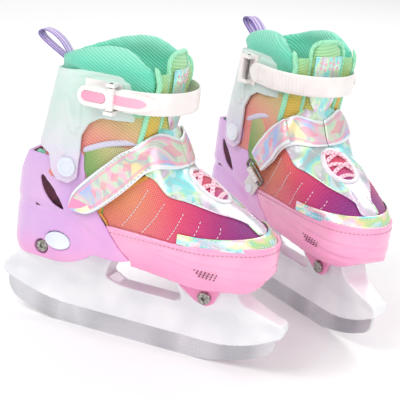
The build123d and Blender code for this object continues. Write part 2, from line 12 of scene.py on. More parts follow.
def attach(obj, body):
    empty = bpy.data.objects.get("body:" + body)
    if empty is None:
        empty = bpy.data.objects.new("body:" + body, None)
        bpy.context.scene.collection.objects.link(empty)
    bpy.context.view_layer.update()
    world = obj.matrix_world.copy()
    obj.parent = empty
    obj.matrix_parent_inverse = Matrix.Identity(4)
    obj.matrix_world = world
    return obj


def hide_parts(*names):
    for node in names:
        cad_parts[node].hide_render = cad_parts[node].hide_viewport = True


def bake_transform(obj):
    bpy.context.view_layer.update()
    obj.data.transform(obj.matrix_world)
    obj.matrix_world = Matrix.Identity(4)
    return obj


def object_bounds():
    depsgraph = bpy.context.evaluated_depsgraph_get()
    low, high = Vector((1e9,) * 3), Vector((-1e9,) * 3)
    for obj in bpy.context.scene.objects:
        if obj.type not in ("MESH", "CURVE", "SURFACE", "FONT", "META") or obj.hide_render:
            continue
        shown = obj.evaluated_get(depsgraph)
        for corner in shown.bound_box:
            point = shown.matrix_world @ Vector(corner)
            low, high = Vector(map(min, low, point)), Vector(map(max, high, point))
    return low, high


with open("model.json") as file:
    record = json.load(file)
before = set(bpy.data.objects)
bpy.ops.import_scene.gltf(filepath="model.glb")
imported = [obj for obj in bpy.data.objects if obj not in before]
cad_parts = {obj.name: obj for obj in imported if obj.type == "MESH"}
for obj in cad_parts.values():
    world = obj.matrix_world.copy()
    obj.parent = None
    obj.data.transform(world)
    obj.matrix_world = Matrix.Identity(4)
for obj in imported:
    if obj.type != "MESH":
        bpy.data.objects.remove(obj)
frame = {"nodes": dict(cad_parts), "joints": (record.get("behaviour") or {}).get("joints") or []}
cad_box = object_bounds()

bl_info = {
    "name": "Adjustable Ice Skates",
    "version": (1, 0, 0),
    "blender": (4, 5, 0),
    "location": "View3D > Sidebar > Skates",
    "description": "Builds the shells, upper, liner, straps and laces of a pair of adjustable ice skates",
    "category": "Object",
}

# ---------------------------------------------------------------- the two skates' own frames
SIDES = ("right", "left")
ANKLE_PIVOT = Vector((-69.0, 0.0, 165.0))


def skate_frames():
    """Matrix from each skate's frame in mm, toe to +X and outer side to -Y, to the row's frame in metres."""
    joints = {joint["name"]: joint for joint in frame["joints"]}
    frames = {}
    for side in SIDES:
        joint = joints[f"{side}_cuff_flex"]
        axis = joint["axis"]
        turn = Matrix.Rotation(math.atan2(axis[1], axis[0]) - math.pi / 2, 4, "Z")
        hand = Matrix.Diagonal((1, 1 if side == "right" else -1, 1, 1))
        scale = Matrix.Scale(0.001, 4)
        frames[side] = Matrix.Translation(joint["pos_m"]) @ turn @ hand @ scale @ Matrix.Translation(-ANKLE_PIVOT)
    return frames


PLACE = skate_frames()

# Upper of the boot: places along the skate with outer and inner half widths,
# the height where the wall starts to curve over, and the ridge height, in mm
UPPER_SECTIONS = (
    (-80.0, 35.0, 34.0, 190.0, 240.0),
    (-30.0, 40.0, 38.0, 180.0, 226.0),
    (5.0, 43.0, 39.5, 166.0, 212.0),
    (13.0, 43.5, 40.0, 158.0, 201.0),
    (26.0, 45.0, 41.0, 140.0, 177.0),
    (42.0, 47.0, 42.0, 133.0, 168.0),
    (62.0, 46.0, 42.0, 127.0, 156.0),
    (82.0, 40.0, 39.0, 122.0, 145.0),
    (100.0, 30.0, 33.0, 118.0, 135.0),
    (112.0, 18.0, 21.0, 114.0, 126.0),
    (118.0, 6.0, 7.0, 112.0, 119.0),
)


# The ankle sleeve's rear circle moves forward with height; the lining follows it, in mm
SLEEVE_REAR_X = -78.0
SLEEVE_REAR_Z = 140.0
SLEEVE_LEAN = 0.175
LINING_HALF = 37.4


def sleeve_rear(z):
    """Where the centre of the sleeve's rear circle lies at a height."""
    return SLEEVE_REAR_X + (z - SLEEVE_REAR_Z) * SLEEVE_LEAN


def smooth_table(rows, at):
    """Value of a table of rows (place, values...) at a place, on a smooth curve through the rows."""
    rows = list(rows)
    at = min(max(at, rows[0][0]), rows[-1][0])
    index = max(i for i in range(len(rows) - 1) if rows[i][0] <= at + 1e-9)
    before, low, high, after = (
        rows[max(index - 1, 0)], rows[index], rows[index + 1], rows[min(index + 2, len(rows) - 1)]
    )
    step = high[0] - low[0]
    t = (at - low[0]) / step
    values = []
    for k in range(1, len(low)):
        start = (high[k] - before[k]) / (high[0] - before[0]) * step
        end = (after[k] - low[k]) / (after[0] - low[0]) * step
        h00, h10, h01, h11 = 2 * t**3 - 3 * t**2 + 1, t**3 - 2 * t**2 + t, -2 * t**3 + 3 * t**2, t**3 - t**2
        values.append(h00 * low[k] + h10 * start + h01 * high[k] + h11 * end)
    return values[0] if len(values) == 1 else values


def ease(value, low, high):
    """Smooth step from 0 at low to 1 at high."""
    t = min(max((value - low) / (high - low), 0.0), 1.0)
    return t * t * (3 - 2 * t)


def upper(x, turn, grow=0.0):
    """Point on the upper: turn is 0 on the ridge and -90 degrees where the outer wall starts."""
    outer, inner, spring, ridge = smooth_table(UPPER_SECTIONS, x)
    half = (outer if turn < 0 else inner) + grow
    limit = math.pi / 2
    if abs(turn) <= limit:
        return Vector((x, half * math.sin(turn), spring + (ridge + grow - spring) * math.cos(turn)))
    return Vector((x, math.copysign(half, turn), spring - (abs(turn) - limit) * half))


def upper_turn(x, z, hand):
    """Turn of the upper's point at a place and a height, on the outer (-1) or inner (1) side."""
    outer, inner, spring, ridge = smooth_table(UPPER_SECTIONS, x)
    half = outer if hand < 0 else inner
    if z >= spring:
        return hand * math.acos(min(max((z - spring) / (ridge - spring), -1.0), 1.0))
    return hand * (math.pi / 2 + (spring - z) / half)


def rounded_plan(share, reach, half, rear, front_x):
    """Point of a U-shaped plan, from its outer front end (share 0) round the heel to its inner one (1)."""
    centre = rear + half
    straight = front_x - centre
    arc = math.pi * half
    at = share * (2 * straight + arc)
    if at < straight:
        return Vector((front_x - at, -half - reach, 0)), Vector((0, -1, 0))
    if at > straight + arc:
        return Vector((centre + at - straight - arc, half + reach, 0)), Vector((0, 1, 0))
    angle = -math.pi / 2 - (at - straight) / half
    out = Vector((math.cos(angle), math.sin(angle), 0))
    return Vector((centre, 0, 0)) + out * (half + reach), out


def turn_across(x, y):
    """Turn of the upper's point at a place along and across the skate."""
    outer, inner, _, _ = smooth_table(UPPER_SECTIONS, x)
    return math.asin(y / (outer if y < 0 else inner))


# ---------------------------------------------------------------- mesh helpers
def patch(mesh, place, columns, rows, span=(1.0, 1.0), round_u=False, round_v=False, begin=0.0):
    """Sheet of quads bent to place(u, v), with a UV map in mm over its span."""
    layer = mesh.loops.layers.uv.verify()
    made = bmesh.ops.create_grid(mesh, x_segments=columns, y_segments=rows, size=0.5)
    verts = made["verts"]
    at = {vert: (min(max(vert.co.x + 0.5, 0.0), 1.0), min(max(vert.co.y + 0.5, 0.0), 1.0)) for vert in verts}
    for face in {face for vert in verts for face in vert.link_faces}:
        for loop in face.loops:
            u, v = at[loop.vert]
            loop[layer].uv = (begin + u * span[0], v * span[1])
    faces = {face for vert in verts for face in vert.link_faces}
    for vert in verts:
        vert.co = place(*at[vert])
    outward = 0.0
    for face in faces:
        face.normal_update()
        middle = face.calc_center_median()
        spine = Vector((min(max(middle.x, -75.0), 60.0), 0.0, middle.z - 15.0))
        outward += face.normal.dot(middle - spine) * face.calc_area()
    if outward < 0:
        bmesh.ops.reverse_faces(mesh, faces=list(faces))
    if round_u or round_v:
        bmesh.ops.remove_doubles(mesh, verts=verts, dist=1e-4)


def tube(mesh, path, columns, width, height, rows=12, closed=False, power=1.0):
    """Binding of oval section along path(share), which gives a point and its outward direction."""

    def ring(u, v):
        step = 1e-3
        point, out = path(u)
        if closed:
            ahead, behind = path((u + step) % 1.0)[0], path((u - step) % 1.0)[0]
        else:
            ahead, behind = path(min(u + step, 1.0))[0], path(max(u - step, 0.0))[0]
        along = (ahead - behind).normalized()
        across = along.cross(out).normalized()
        up = across.cross(along).normalized()
        turn = v * 2 * math.pi
        end = 1.0 if closed else max(1.0 - (abs(2 * u - 1)) ** 24, 0.12)
        side = math.copysign(abs(math.cos(turn)) ** power, math.cos(turn))
        return point + across * side * width / 2 * end + up * math.sin(turn) * height / 2 * end

    return patch(mesh, ring, columns, rows, (columns * 1.0, width * 2), round_v=True, round_u=closed)


def cap_ends(mesh):
    """Closes every open end of a tube."""
    edges = [edge for edge in mesh.edges if edge.is_boundary]
    bmesh.ops.holes_fill(mesh, edges=edges, sides=64)


def new_piece(name, side, mesh, body, material, solid=None, levels=0, smooth=True):
    """Object of a mesh made in a skate's own frame, placed in the row's frame and riding on its body."""
    bmesh.ops.transform(mesh, matrix=PLACE[side], verts=mesh.verts)
    if not solid:
        bmesh.ops.recalc_face_normals(mesh, faces=mesh.faces)
    elif side == "left":
        bmesh.ops.reverse_faces(mesh, faces=mesh.faces)
    data = bpy.data.meshes.new(f"{side}_{name}")
    mesh.to_mesh(data)
    mesh.free()
    piece = bpy.data.objects.new(f"{side}_{name}", data)
    bpy.context.scene.collection.objects.link(piece)
    data.materials.append(material)
    for polygon in data.polygons:
        polygon.use_smooth = smooth
    if solid:
        thick = piece.modifiers.new("Thickness", "SOLIDIFY")
        thick.thickness = solid[0] * 0.001
        thick.offset = solid[1]
    if levels:
        fine = piece.modifiers.new("Fine", "SUBSURF")
        fine.levels = levels
        fine.render_levels = levels
    if body:
        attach(piece, f"{side}_{body}")
    return piece


def bend(piece, side, low_body, high_body, start, end):
    """Bakes the piece's placement into its mesh; it sets up no bend across the joint. The two points, given in
    its skate's own frame, are moved into the row's frame and not used further, and low_body and high_body are not
    used.
    """
    start, end = PLACE[side] @ Vector(start), PLACE[side] @ Vector(end)
    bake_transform(piece)


def slide_with(piece, side):
    """Hands a piece of the upper to bend between the toe shell and the heel, which only bakes its placement; it
    does not stretch as the size slide moves.
    """
    bend(piece, side, "base", "heel", (40, 0, 130), (-30, 0, 130))


def flex_with(piece, side, low=205, high=262):
    """Hands a piece of the ankle to bend between the heel and the cuff over a range of heights, which only bakes
    its placement.
    """
    bend(piece, side, "heel", "cuff", (ANKLE_PIVOT.x, 0, low), (ANKLE_PIVOT.x, 0, high))


def baked(piece):
    """The piece's mesh with its modifiers worked in."""
    graph = bpy.context.evaluated_depsgraph_get()
    data = bpy.data.meshes.new_from_object(piece.evaluated_get(graph))
    old = piece.data
    piece.modifiers.clear()
    piece.data = data
    bpy.data.meshes.remove(old)


def local_points(piece, side):
    """The piece's points in its skate's own frame, in mm."""
    points = np.empty(len(piece.data.vertices) * 3)
    piece.data.vertices.foreach_get("co", points)
    points = points.reshape(-1, 3)
    back = np.array(PLACE[side].inverted())
    return points @ back[:3, :3].T + back[:3, 3]


def set_local_points(piece, side, points):
    """Moves the piece's points to places given in its skate's own frame."""
    there = np.array(PLACE[side])
    world = points @ there[:3, :3].T + there[:3, 3]
    piece.data.vertices.foreach_set("co", world.ravel())
    piece.data.update()


def moulded(name, side, node, material, body, voxel, rounds, shape=None):
    """Copy of a CAD body as it comes from its mould: edges rounded, then shaped by a function of its points."""
    mesh = bmesh.new()
    mesh.from_mesh(frame["nodes"][f"{side}_{node}"].data)
    bmesh.ops.remove_doubles(mesh, verts=mesh.verts, dist=1e-6)
    data = bpy.data.meshes.new(f"{side}_{name}")
    mesh.to_mesh(data)
    mesh.free()
    piece = bpy.data.objects.new(f"{side}_{name}", data)
    bpy.context.scene.collection.objects.link(piece)
    remesh = piece.modifiers.new("Remesh", "REMESH")
    remesh.mode = "VOXEL"
    remesh.voxel_size = voxel * 0.001
    soften = piece.modifiers.new("Soften", "SMOOTH")
    soften.factor = 0.5
    soften.iterations = rounds
    baked(piece)
    if shape:
        points = local_points(piece, side)
        set_local_points(piece, side, shape(points))
    piece.data.materials.clear()
    piece.data.materials.append(material)
    for polygon in piece.data.polygons:
        polygon.use_smooth = True
    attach(piece, f"{side}_{body}")
    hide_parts(f"{side}_{node}")
    return piece


def swell(piece, voxel, pressure, cap):
    """Lets a padded piece swell as its foam does: cloth under pressure, with each point's travel capped."""
    remesh = piece.modifiers.new("Remesh", "REMESH")
    remesh.mode = "VOXEL"
    remesh.voxel_size = voxel * 0.001
    baked(piece)
    count = len(piece.data.vertices)
    rest = np.empty(count * 3)
    piece.data.vertices.foreach_get("co", rest)
    cloth = piece.modifiers.new("Cloth", "CLOTH")
    cloth.settings.use_pressure = True
    cloth.settings.uniform_pressure_force = pressure
    cloth.settings.effector_weights.gravity = 0.0
    cloth.collision_settings.use_collision = False
    scene = bpy.context.scene
    for step in range(1, 21):
        scene.frame_set(step)
    graph = bpy.context.evaluated_depsgraph_get()
    swollen = piece.evaluated_get(graph)
    moved = np.empty(count * 3)
    swollen.data.vertices.foreach_get("co", moved)
    piece.modifiers.clear()
    scene.frame_set(1)
    travel = (moved - rest).reshape(-1, 3)
    length = np.linalg.norm(travel, axis=1)
    scale = np.minimum(1.0, cap * 0.001 / np.maximum(length, 1e-9))
    points = rest.reshape(-1, 3) + travel * scale[:, None]
    piece.data.vertices.foreach_set("co", points.ravel())
    for polygon in piece.data.polygons:
        polygon.use_smooth = True
    fine = piece.modifiers.new("Fine", "SUBSURF")
    fine.levels = 1
    fine.render_levels = 1


# ---------------------------------------------------------------- material helpers
def linear(hex_colour):
    """Linear colour of an sRGB hex value."""
    parts = [int(hex_colour[i:i + 2], 16) / 255 for i in (1, 3, 5)]
    return [c / 12.92 if c <= 0.04045 else ((c + 0.055) / 1.055) ** 2.4 for c in parts] + [1.0]


def add(tree, kind, links=None, **settings):
    """Adds a node with its settings, and sets or links its inputs."""
    made = tree.nodes.new(kind)
    for key, value in settings.items():
        setattr(made, key, value)
    for socket, value in (links or {}).items():
        if isinstance(value, bpy.types.NodeSocket):
            tree.links.new(value, made.inputs[socket])
        else:
            made.inputs[socket].default_value = value
    return made


class Finish:
    """A material under way: its node tree, its shader and the skate's own coordinates in mm."""

    def __init__(self, name, side, roughness, metallic=0.0, uv=False, coat=0.0, sheen=0.0, ior=1.5):
        self.material = bpy.data.materials.new(f"{name}_{side}")
        self.material.use_nodes = True
        self.tree = self.material.node_tree
        self.tree.nodes.clear()
        output = add(self.tree, "ShaderNodeOutputMaterial")
        self.shader = add(
            self.tree, "ShaderNodeBsdfPrincipled",
            {"Roughness": roughness, "Metallic": metallic, "IOR": ior}
        )
        self.tree.links.new(self.shader.outputs["BSDF"], output.inputs["Surface"])
        self.shader.inputs["Coat Weight"].default_value = coat
        self.shader.inputs["Coat Roughness"].default_value = 0.08
        self.shader.inputs["Sheen Weight"].default_value = sheen
        if uv:
            self.at = add(self.tree, "ShaderNodeUVMap").outputs["UV"]
        else:
            back = PLACE[side].inverted()
            place, turn, size = back.decompose()
            if side == "left":
                size = Vector((1000.0, -1000.0, 1000.0))
                turn = (back @ Matrix.Diagonal((0.001, -0.001, 0.001, 1))).to_quaternion()
            where = add(self.tree, "ShaderNodeTexCoord").outputs["Object"]
            links = {"Vector": where, "Location": place, "Rotation": turn.to_euler(), "Scale": size}
            self.at = add(self.tree, "ShaderNodeMapping", links).outputs["Vector"]

    def blend_of(self, factor, low, high, mode="MIX"):
        """Mix of two colours or sockets by a factor."""
        mix = add(self.tree, "ShaderNodeMix", data_type="RGBA", blend_type=mode)
        for index, value in ((0, factor), (6, low), (7, high)):
            if isinstance(value, bpy.types.NodeSocket):
                self.tree.links.new(value, mix.inputs[index])
            else:
                mix.inputs[index].default_value = value
        return mix.outputs[2]

    def along(self, direction, low, high):
        """0 to 1 as a point passes from low to high mm along a direction."""
        dot = add(self.tree, "ShaderNodeVectorMath", {0: self.at, 1: direction}, operation="DOT_PRODUCT")
        spread = add(
            self.tree, "ShaderNodeMapRange",
            {"Value": dot.outputs["Value"], "From Min": low, "From Max": high}
        )
        return spread.outputs["Result"]

    def ribs(self, direction, pitch):
        """0 to 1 stripes a pitch in mm apart along a direction."""
        per_mm = Vector(direction).normalized() * (2 * math.pi / pitch)
        dot = add(self.tree, "ShaderNodeVectorMath", {0: self.at, 1: per_mm}, operation="DOT_PRODUCT")
        wave = add(self.tree, "ShaderNodeMath", {0: dot.outputs["Value"]}, operation="SINE")
        halved = add(self.tree, "ShaderNodeMath", {0: wave.outputs[0], 1: 0.5, 2: 0.5},
            operation="MULTIPLY_ADD")
        return halved.outputs[0]

    def speckle(self, size, detail=2.0, stretch=(1, 1, 1), distortion=0.0):
        """0 to 1 noise with blotches of a size in mm."""
        scale = [s / size for s in stretch]
        where = add(self.tree, "ShaderNodeMapping", {"Vector": self.at, "Scale": scale}).outputs["Vector"]
        links = {"Vector": where, "Scale": 1.0, "Detail": detail, "Distortion": distortion}
        return add(self.tree, "ShaderNodeTexNoise", links).outputs["Fac"]

    def ramp(self, factor, stops, steps="LINEAR"):
        """Colour from a factor through (place, hex) stops."""
        made = add(self.tree, "ShaderNodeValToRGB", {"Fac": factor})
        made.color_ramp.interpolation = steps
        elements = made.color_ramp.elements
        elements[0].position, elements[1].position = stops[0][0], stops[-1][0]
        for place, _ in stops[1:-1]:
            elements.new(place)
        for element, (_, colour) in zip(elements, stops):
            element.color = linear(colour) if isinstance(colour, str) else colour
        return made.outputs["Color"]

    def maths(self, operation, first, second):
        """One maths operation on two values."""
        return add(self.tree, "ShaderNodeMath", {0: first, 1: second}, operation=operation).outputs[0]

    def colour(self, socket):
        """Sends a colour to the shader."""
        if isinstance(socket, bpy.types.NodeSocket):
            self.tree.links.new(socket, self.shader.inputs["Base Color"])
        else:
            self.shader.inputs["Base Color"].default_value = socket

    def relief(self, height, depth):
        """Raises the surface by a height pattern, a depth in mm."""
        links = {"Height": height, "Distance": depth * 0.001, "Strength": 1.0}
        bump = add(self.tree, "ShaderNodeBump", links)
        self.tree.links.new(bump.outputs["Normal"], self.shader.inputs["Normal"])

    def rough(self, factor, low, high):
        """Roughness that varies with a pattern."""
        spread = add(self.tree, "ShaderNodeMapRange", {"Value": factor, "To Min": low, "To Max": high})
        self.tree.links.new(spread.outputs["Result"], self.shader.inputs["Roughness"])


# ---------------------------------------------------------------- materials
def blade_steel(side):
    """Ground and polished runner steel: fine lengthwise grinding lines and soft grey bands."""
    f = Finish("polished_runner_steel", side, 0.22, 1.0)
    bands = f.speckle(60.0, 1.0, (1, 0.1, 0.5))
    f.colour(f.ramp(bands, ((0.3, "#A9A9AD"), (0.5, "#D9D9DC"), (0.7, "#B9B9BE"))))
    lines = f.speckle(1.0, 2.0, (0.02, 1.0, 1.0))
    f.rough(lines, 0.16, 0.34)
    f.relief(lines, 0.04)
    return f.material


def plated_steel(side, name="plated_fastener_steel", tone="#A8A49E"):
    """Bright plated steel of the bolts and nuts, a little worn into darker specks."""
    f = Finish(name, side, 0.28, 1.0)
    wear = f.speckle(2.0)
    f.colour(f.ramp(wear, ((0.3, "#6E6A66"), (0.55, tone), (0.8, "#DAD7D2"))))
    f.rough(wear, 0.2, 0.42)
    return f.material


def gloss_white(side, name="gloss_white_polyamide", tone="#F3F3F5", low_tone="#E4E5E9"):
    """Gloss white injection-moulded polyamide with a faint cloudy flow."""
    f = Finish(name, side, 0.24, coat=0.5)
    flow = f.speckle(34.0, 1.0)
    f.colour(f.ramp(flow, ((0.35, low_tone), (0.65, tone))))
    fine = f.speckle(0.9)
    f.relief(fine, 0.02)
    return f.material


def pink_shell(side):
    """Gloss pink moulded polypropylene, paler towards its rim and a little deeper under the toe."""
    f = Finish("gloss_pink_polypropylene", side, 0.26, coat=0.35)
    up = f.along((0.05, 0, 1), 72, 126)
    base = f.ramp(up, ((0.0, "#F090C0"), (0.45, "#F69EC7"), (0.8, "#F9B1D2"), (1.0, "#F7A8CD")))
    cloud = f.speckle(26.0, 1.0)
    tint = f.ramp(cloud, ((0.3, "#F497C5"), (0.7, "#FDB9D6")))
    f.colour(f.blend_of(0.3, base, tint))
    f.relief(f.speckle(0.9), 0.02)
    return f.material


def lilac_shell(side):
    """Gloss moulded polypropylene that fades from lilac at the heel to pink at its front and lower edges."""
    f = Finish("gloss_lilac_polypropylene", side, 0.27, coat=0.35)
    fade = f.along((0.75, 0, -0.55), -150, -52)
    base = f.ramp(fade, ((0.0, "#D4B0DD"), (0.3, "#D3A7DF"), (0.62, "#E1A5DD"), (1.0, "#ECA7D6")))
    low = f.along((0, 0, 1), 74, 96)
    base = f.blend_of(low, linear("#EB9FD0"), base)
    cloud = f.speckle(30.0, 1.0)
    f.colour(f.blend_of(0.25, base, f.ramp(cloud, ((0.3, "#D09FDD"), (0.7, "#F0BADF")))))
    f.relief(f.speckle(0.9), 0.02)
    return f.material


def frosted_cuff(side):
    """Frosted, slightly milky plastic that fades from mint white at the top to lilac pink at the ankle."""
    f = Finish("frosted_polypropylene", side, 0.36, coat=0.25)
    f.shader.inputs["Subsurface Weight"].default_value = 0.15
    f.shader.inputs["Subsurface Scale"].default_value = 0.004
    up = f.along((0, 0, 1), 150, 256)
    base = f.ramp(
        up,
        (
            (0.0, "#E2BDE5"), (0.16, "#DDC6E5"), (0.34, "#D8D5DE"), (0.55, "#CCDBD5"), (0.8, "#C4E2D5"),
            (1.0, "#CEECE0")
        )
    )
    cloud = f.speckle(22.0, 1.0)
    f.colour(f.blend_of(0.35, base, f.ramp(cloud, ((0.35, "#C9E0D8"), (0.65, "#E5E5EB")))))
    f.relief(f.speckle(0.7), 0.05)
    return f.material


def knit(side, name, stops, low, high, direction=(0, 0, 1), rib=(0.5, 0.3, 0.85), pitch=2.2):
    """Ribbed polyester knit over foam: a colour fades along a direction, and fine ribs catch the light, with
    painted shade darkening the valleys between them.
    """
    f = Finish(name, side, 0.72, sheen=0.35)
    base = f.ramp(f.along(direction, low, high), stops)
    stripes = f.ribs(rib, pitch)
    threads = f.speckle(0.8, 1.0)
    height = f.maths("ADD", stripes, f.maths("MULTIPLY", threads, 0.5))
    # the valleys between the ribs are painted darker: painted shade in the creases
    darker = f.blend_of(1.0, base, linear("#B8B8B8"), "MULTIPLY")
    shaded = f.maths("MULTIPLY", f.maths("SUBTRACT", 1.0, stripes), 0.44)
    f.colour(f.blend_of(shaded, base, darker))
    f.relief(height, 0.35)
    return f.material


def sunset_mesh(side):
    """Open polyester mesh dyed from peach at the heel through coral and magenta to purple at the toe."""
    f = Finish("dyed_air_mesh", side, 0.7, sheen=0.25)
    fade = f.along((1.0, 0, 0.18), 0, 122)
    stops = (
        (0.0, "#E08B44"), (0.2, "#EC946B"), (0.36, "#EE7970"), (0.5, "#E95470"), (0.66, "#D53B76"),
        (0.8, "#AE2179"), (0.95, "#861680")
    )
    base = f.ramp(fade, stops)
    low = f.along((0.1, 0, 1), 150, 122)
    base = f.blend_of(f.maths("MULTIPLY", low, 0.35), base, linear("#E85695"))
    holes = f.maths("MULTIPLY", f.ribs((1, 0.4, 0.6), 1.7), f.ribs((-0.5, 0.4, 1), 1.7))
    dark = f.blend_of(1.0, base, linear("#B07085"), "MULTIPLY")
    f.colour(f.blend_of(f.maths("MULTIPLY", holes, 0.6), base, dark))
    f.relief(f.maths("SUBTRACT", 1.0, holes), 0.35)
    return f.material


def moss_mesh(side):
    """Open mesh of the ankle quarter, from dark green by the cuff to straw yellow towards the strap."""
    f = Finish("green_air_mesh", side, 0.75, sheen=0.2)
    base = f.ramp(
        f.along((0.8, 0, 0.4), 16, 62),
        ((0.0, "#6FA25A"), (0.35, "#93B56A"), (0.7, "#C9C58A"), (1.0, "#D8CFA0"))
    )
    holes = f.maths("MULTIPLY", f.ribs((1, 0, 0.6), 1.7), f.ribs((-0.5, 0, 1), 1.7))
    dark = f.blend_of(1.0, base, linear("#6E8060"), "MULTIPLY")
    f.colour(f.blend_of(f.maths("MULTIPLY", holes, 0.7), base, dark))
    f.relief(f.maths("SUBTRACT", 1.0, holes), 0.35)
    return f.material


def iridescent_film(side, name, stops, size, stretch):
    """Iridescent laminated film on synthetic leather: pastel rainbow bands over a silvery ground."""
    f = Finish(name, side, 0.24, 0.35, coat=0.6)
    sweep = f.speckle(size, 1.5, stretch, 0.6)
    base = f.ramp(sweep, stops)
    # near-white flecks where this noise is high are painted glints, highlights painted on the film
    glints = f.speckle(size * 0.45, 1.0, stretch, 1.2)
    base = f.blend_of(
        f.maths("MULTIPLY", f.maths("GREATER_THAN", glints, 0.56), 0.45), base, linear("#F8FAFA")
    )
    f.colour(base)
    f.relief(f.speckle(6.0, 1.0), 0.12)
    return f.material


SILVER_CYAN = (
    (0.3, "#B9C4C6"), (0.42, "#8FE9EE"), (0.47, "#D6F5C0"), (0.53, "#C3CBCB"), (0.6, "#E8C9E6"),
    (0.7, "#A9B4B6")
)
PASTEL_BAND = (
    (0.3, "#8FE6EE"), (0.4, "#F7D3EE"), (0.46, "#FBE7B0"), (0.52, "#BFE9A0"), (0.58, "#7FE0EE"),
    (0.66, "#F3B8C8"), (0.75, "#FFF3EA")
)
STRAP_BAND = (
    (0.28, "#8FD2EC"), (0.36, "#AEBBEC"), (0.43, "#C6CCD2"), (0.5, "#F0BCD0"), (0.56, "#C9E6C4"),
    (0.62, "#B9BEC6"), (0.7, "#F4E4AC")
)


def strap_cloth(side):
    """Iridescent strap facing, laid out along the strap, with pink stripes and a white stitched border."""
    f = Finish("iridescent_strap_facing", side, 0.26, 0.25, uv=True, coat=0.5)
    sweep = f.speckle(15.0, 1.0, (1, 0.5, 1), 0.7)
    base = f.ramp(sweep, STRAP_BAND)
    parts = add(f.tree, "ShaderNodeSeparateXYZ", {"Vector": f.at})
    along, across = parts.outputs["X"], parts.outputs["Y"]
    centre = f.maths("ABSOLUTE", f.maths("SUBTRACT", across, 14.0), 0.0)
    stripe = f.maths("LESS_THAN", f.maths("ABSOLUTE", f.maths("SUBTRACT", centre, 9.0), 0.0), 1.0)
    base = f.blend_of(f.maths("MULTIPLY", stripe, 0.7), base, linear("#F3A0BE"))
    # a row of plain pink lozenges is the strap's trim
    beat = f.maths("PINGPONG", along, 6.5)
    lozenge = f.maths("LESS_THAN", f.maths("ADD", beat, f.maths("MULTIPLY", centre, 0.9)), 4.2)
    inside = f.maths("MULTIPLY", f.maths("GREATER_THAN", along, 38.0), f.maths("LESS_THAN", along, 170.0))
    base = f.blend_of(f.maths("MULTIPLY", f.maths("MULTIPLY", lozenge, inside), 0.6), base, linear("#F48FA8"))
    wedge = f.maths(
        "MULTIPLY", f.maths("LESS_THAN", f.maths("ADD", along, across), 36.0),
        f.maths("LESS_THAN", centre, 9.5)
    )
    base = f.blend_of(wedge, base, linear("#F994BE"))
    pale = f.maths("MULTIPLY", f.maths("LESS_THAN", across, 8.5), f.maths("LESS_THAN", along, 27.0))
    base = f.blend_of(
        pale, base,
        f.ramp(f.maths("MULTIPLY", along, 0.04), ((0.2, "#9CC4F0"), (0.5, "#EDF7C4"), (0.9, "#F6F0D0")))
    )
    edge = f.maths("GREATER_THAN", centre, 11.2)
    base = f.blend_of(edge, base, linear("#EEF1F4"))
    f.colour(base)
    f.relief(f.speckle(4.0, 1.0), 0.15)
    return f.material


def plain_webbing(side, name, tone, dark, pitch=1.4):
    """Plain woven webbing or tape, with its cross threads."""
    f = Finish(name, side, 0.8, sheen=0.2)
    weave = f.maths("MULTIPLY", f.ribs((1, 0, 0.3), pitch), f.ribs((0.2, 0.6, 1), pitch))
    f.colour(f.ramp(weave, ((0.2, tone), (0.9, dark))))
    f.relief(weave, 0.3)
    return f.material


def loop_ribbon(side):
    """Striped satin ribbon, purple with white and lilac lines along it."""
    f = Finish("striped_satin_ribbon", side, 0.42, uv=True, sheen=0.4)
    across = add(f.tree, "ShaderNodeSeparateXYZ", {"Vector": f.at}).outputs["Y"]
    stops = ((0.0, "#7A4FB8"), (0.14, "#E9DCF6"), (0.24, "#8B62C6"), (0.42, "#C9B0EA"), (0.5, "#F2E8FA"),
             (0.58, "#C9B0EA"), (0.72, "#8B62C6"), (0.84, "#E9DCF6"), (0.95, "#7A4FB8"))
    f.colour(f.ramp(f.maths("DIVIDE", across, 14.0), stops))
    f.relief(f.ribs((1, 0, 0), 1.0), 0.2)
    return f.material


def lace_braid(side):
    """Braided flat lace, pink with white flecks."""
    f = Finish("braided_lace", side, 0.75, uv=True, sheen=0.3)
    braid = f.maths("MULTIPLY", f.ribs((1, 1, 0), 2.6), f.ribs((1, -1, 0), 2.6))
    f.colour(f.ramp(braid, ((0.1, "#FBD9E4"), (0.45, "#F7A0BC"), (0.9, "#EE7FA4"))))
    f.relief(braid, 0.5)
    return f.material


def ivory_strap(side):
    """Satin ivory polyurethane of the ankle strap and buckle."""
    f = Finish("satin_ivory_polyurethane", side, 0.34, coat=0.2)
    cloud = f.speckle(18.0, 1.0)
    f.colour(f.ramp(cloud, ((0.35, "#F0E9E7"), (0.65, "#F8F3F1"))))
    f.relief(f.speckle(0.8), 0.04)
    return f.material


def pink_tab(side):
    """Pink moulded inlay of the buckle."""
    f = Finish("gloss_pink_inlay", side, 0.3, coat=0.3)
    f.colour(f.ramp(f.along((1, 0, 0), -60, 0), ((0.0, "#F79AB8"), (1.0, "#F9B4CC"))))
    f.relief(f.speckle(0.9), 0.03)
    return f.material


def dark_inside(side):
    """Burgundy lining seen through the shell's vents, painted very dark: painted shade inside the vents."""
    f = Finish("shadowed_burgundy_lining", side, 0.6)
    f.colour(f.ramp(f.speckle(6.0), ((0.3, "#2E0418"), (0.7, "#5A0A32"))))
    return f.material


MADE = {}


def finish_of(maker, side, **settings):
    """A material of one skate, made once."""
    key = (maker.__name__, side, settings.get("name", ""))
    if key not in MADE:
        MADE[key] = maker(side, **settings)
    return MADE[key]


# ---------------------------------------------------------------- what a user would change
def length(name, description, default, low, high):
    """Length setting given in mm and held in metres."""
    limits = {"default": default * 0.001, "min": low * 0.001, "max": high * 0.001}
    return bpy.props.FloatProperty(name=name, description=description, unit="LENGTH", precision=4, **limits)


def shade(name, description, default):
    """Colour setting given as an sRGB hex value."""
    return bpy.props.FloatVectorProperty(
        name=name, description=description, subtype="COLOR", size=4, default=linear(default)
    )


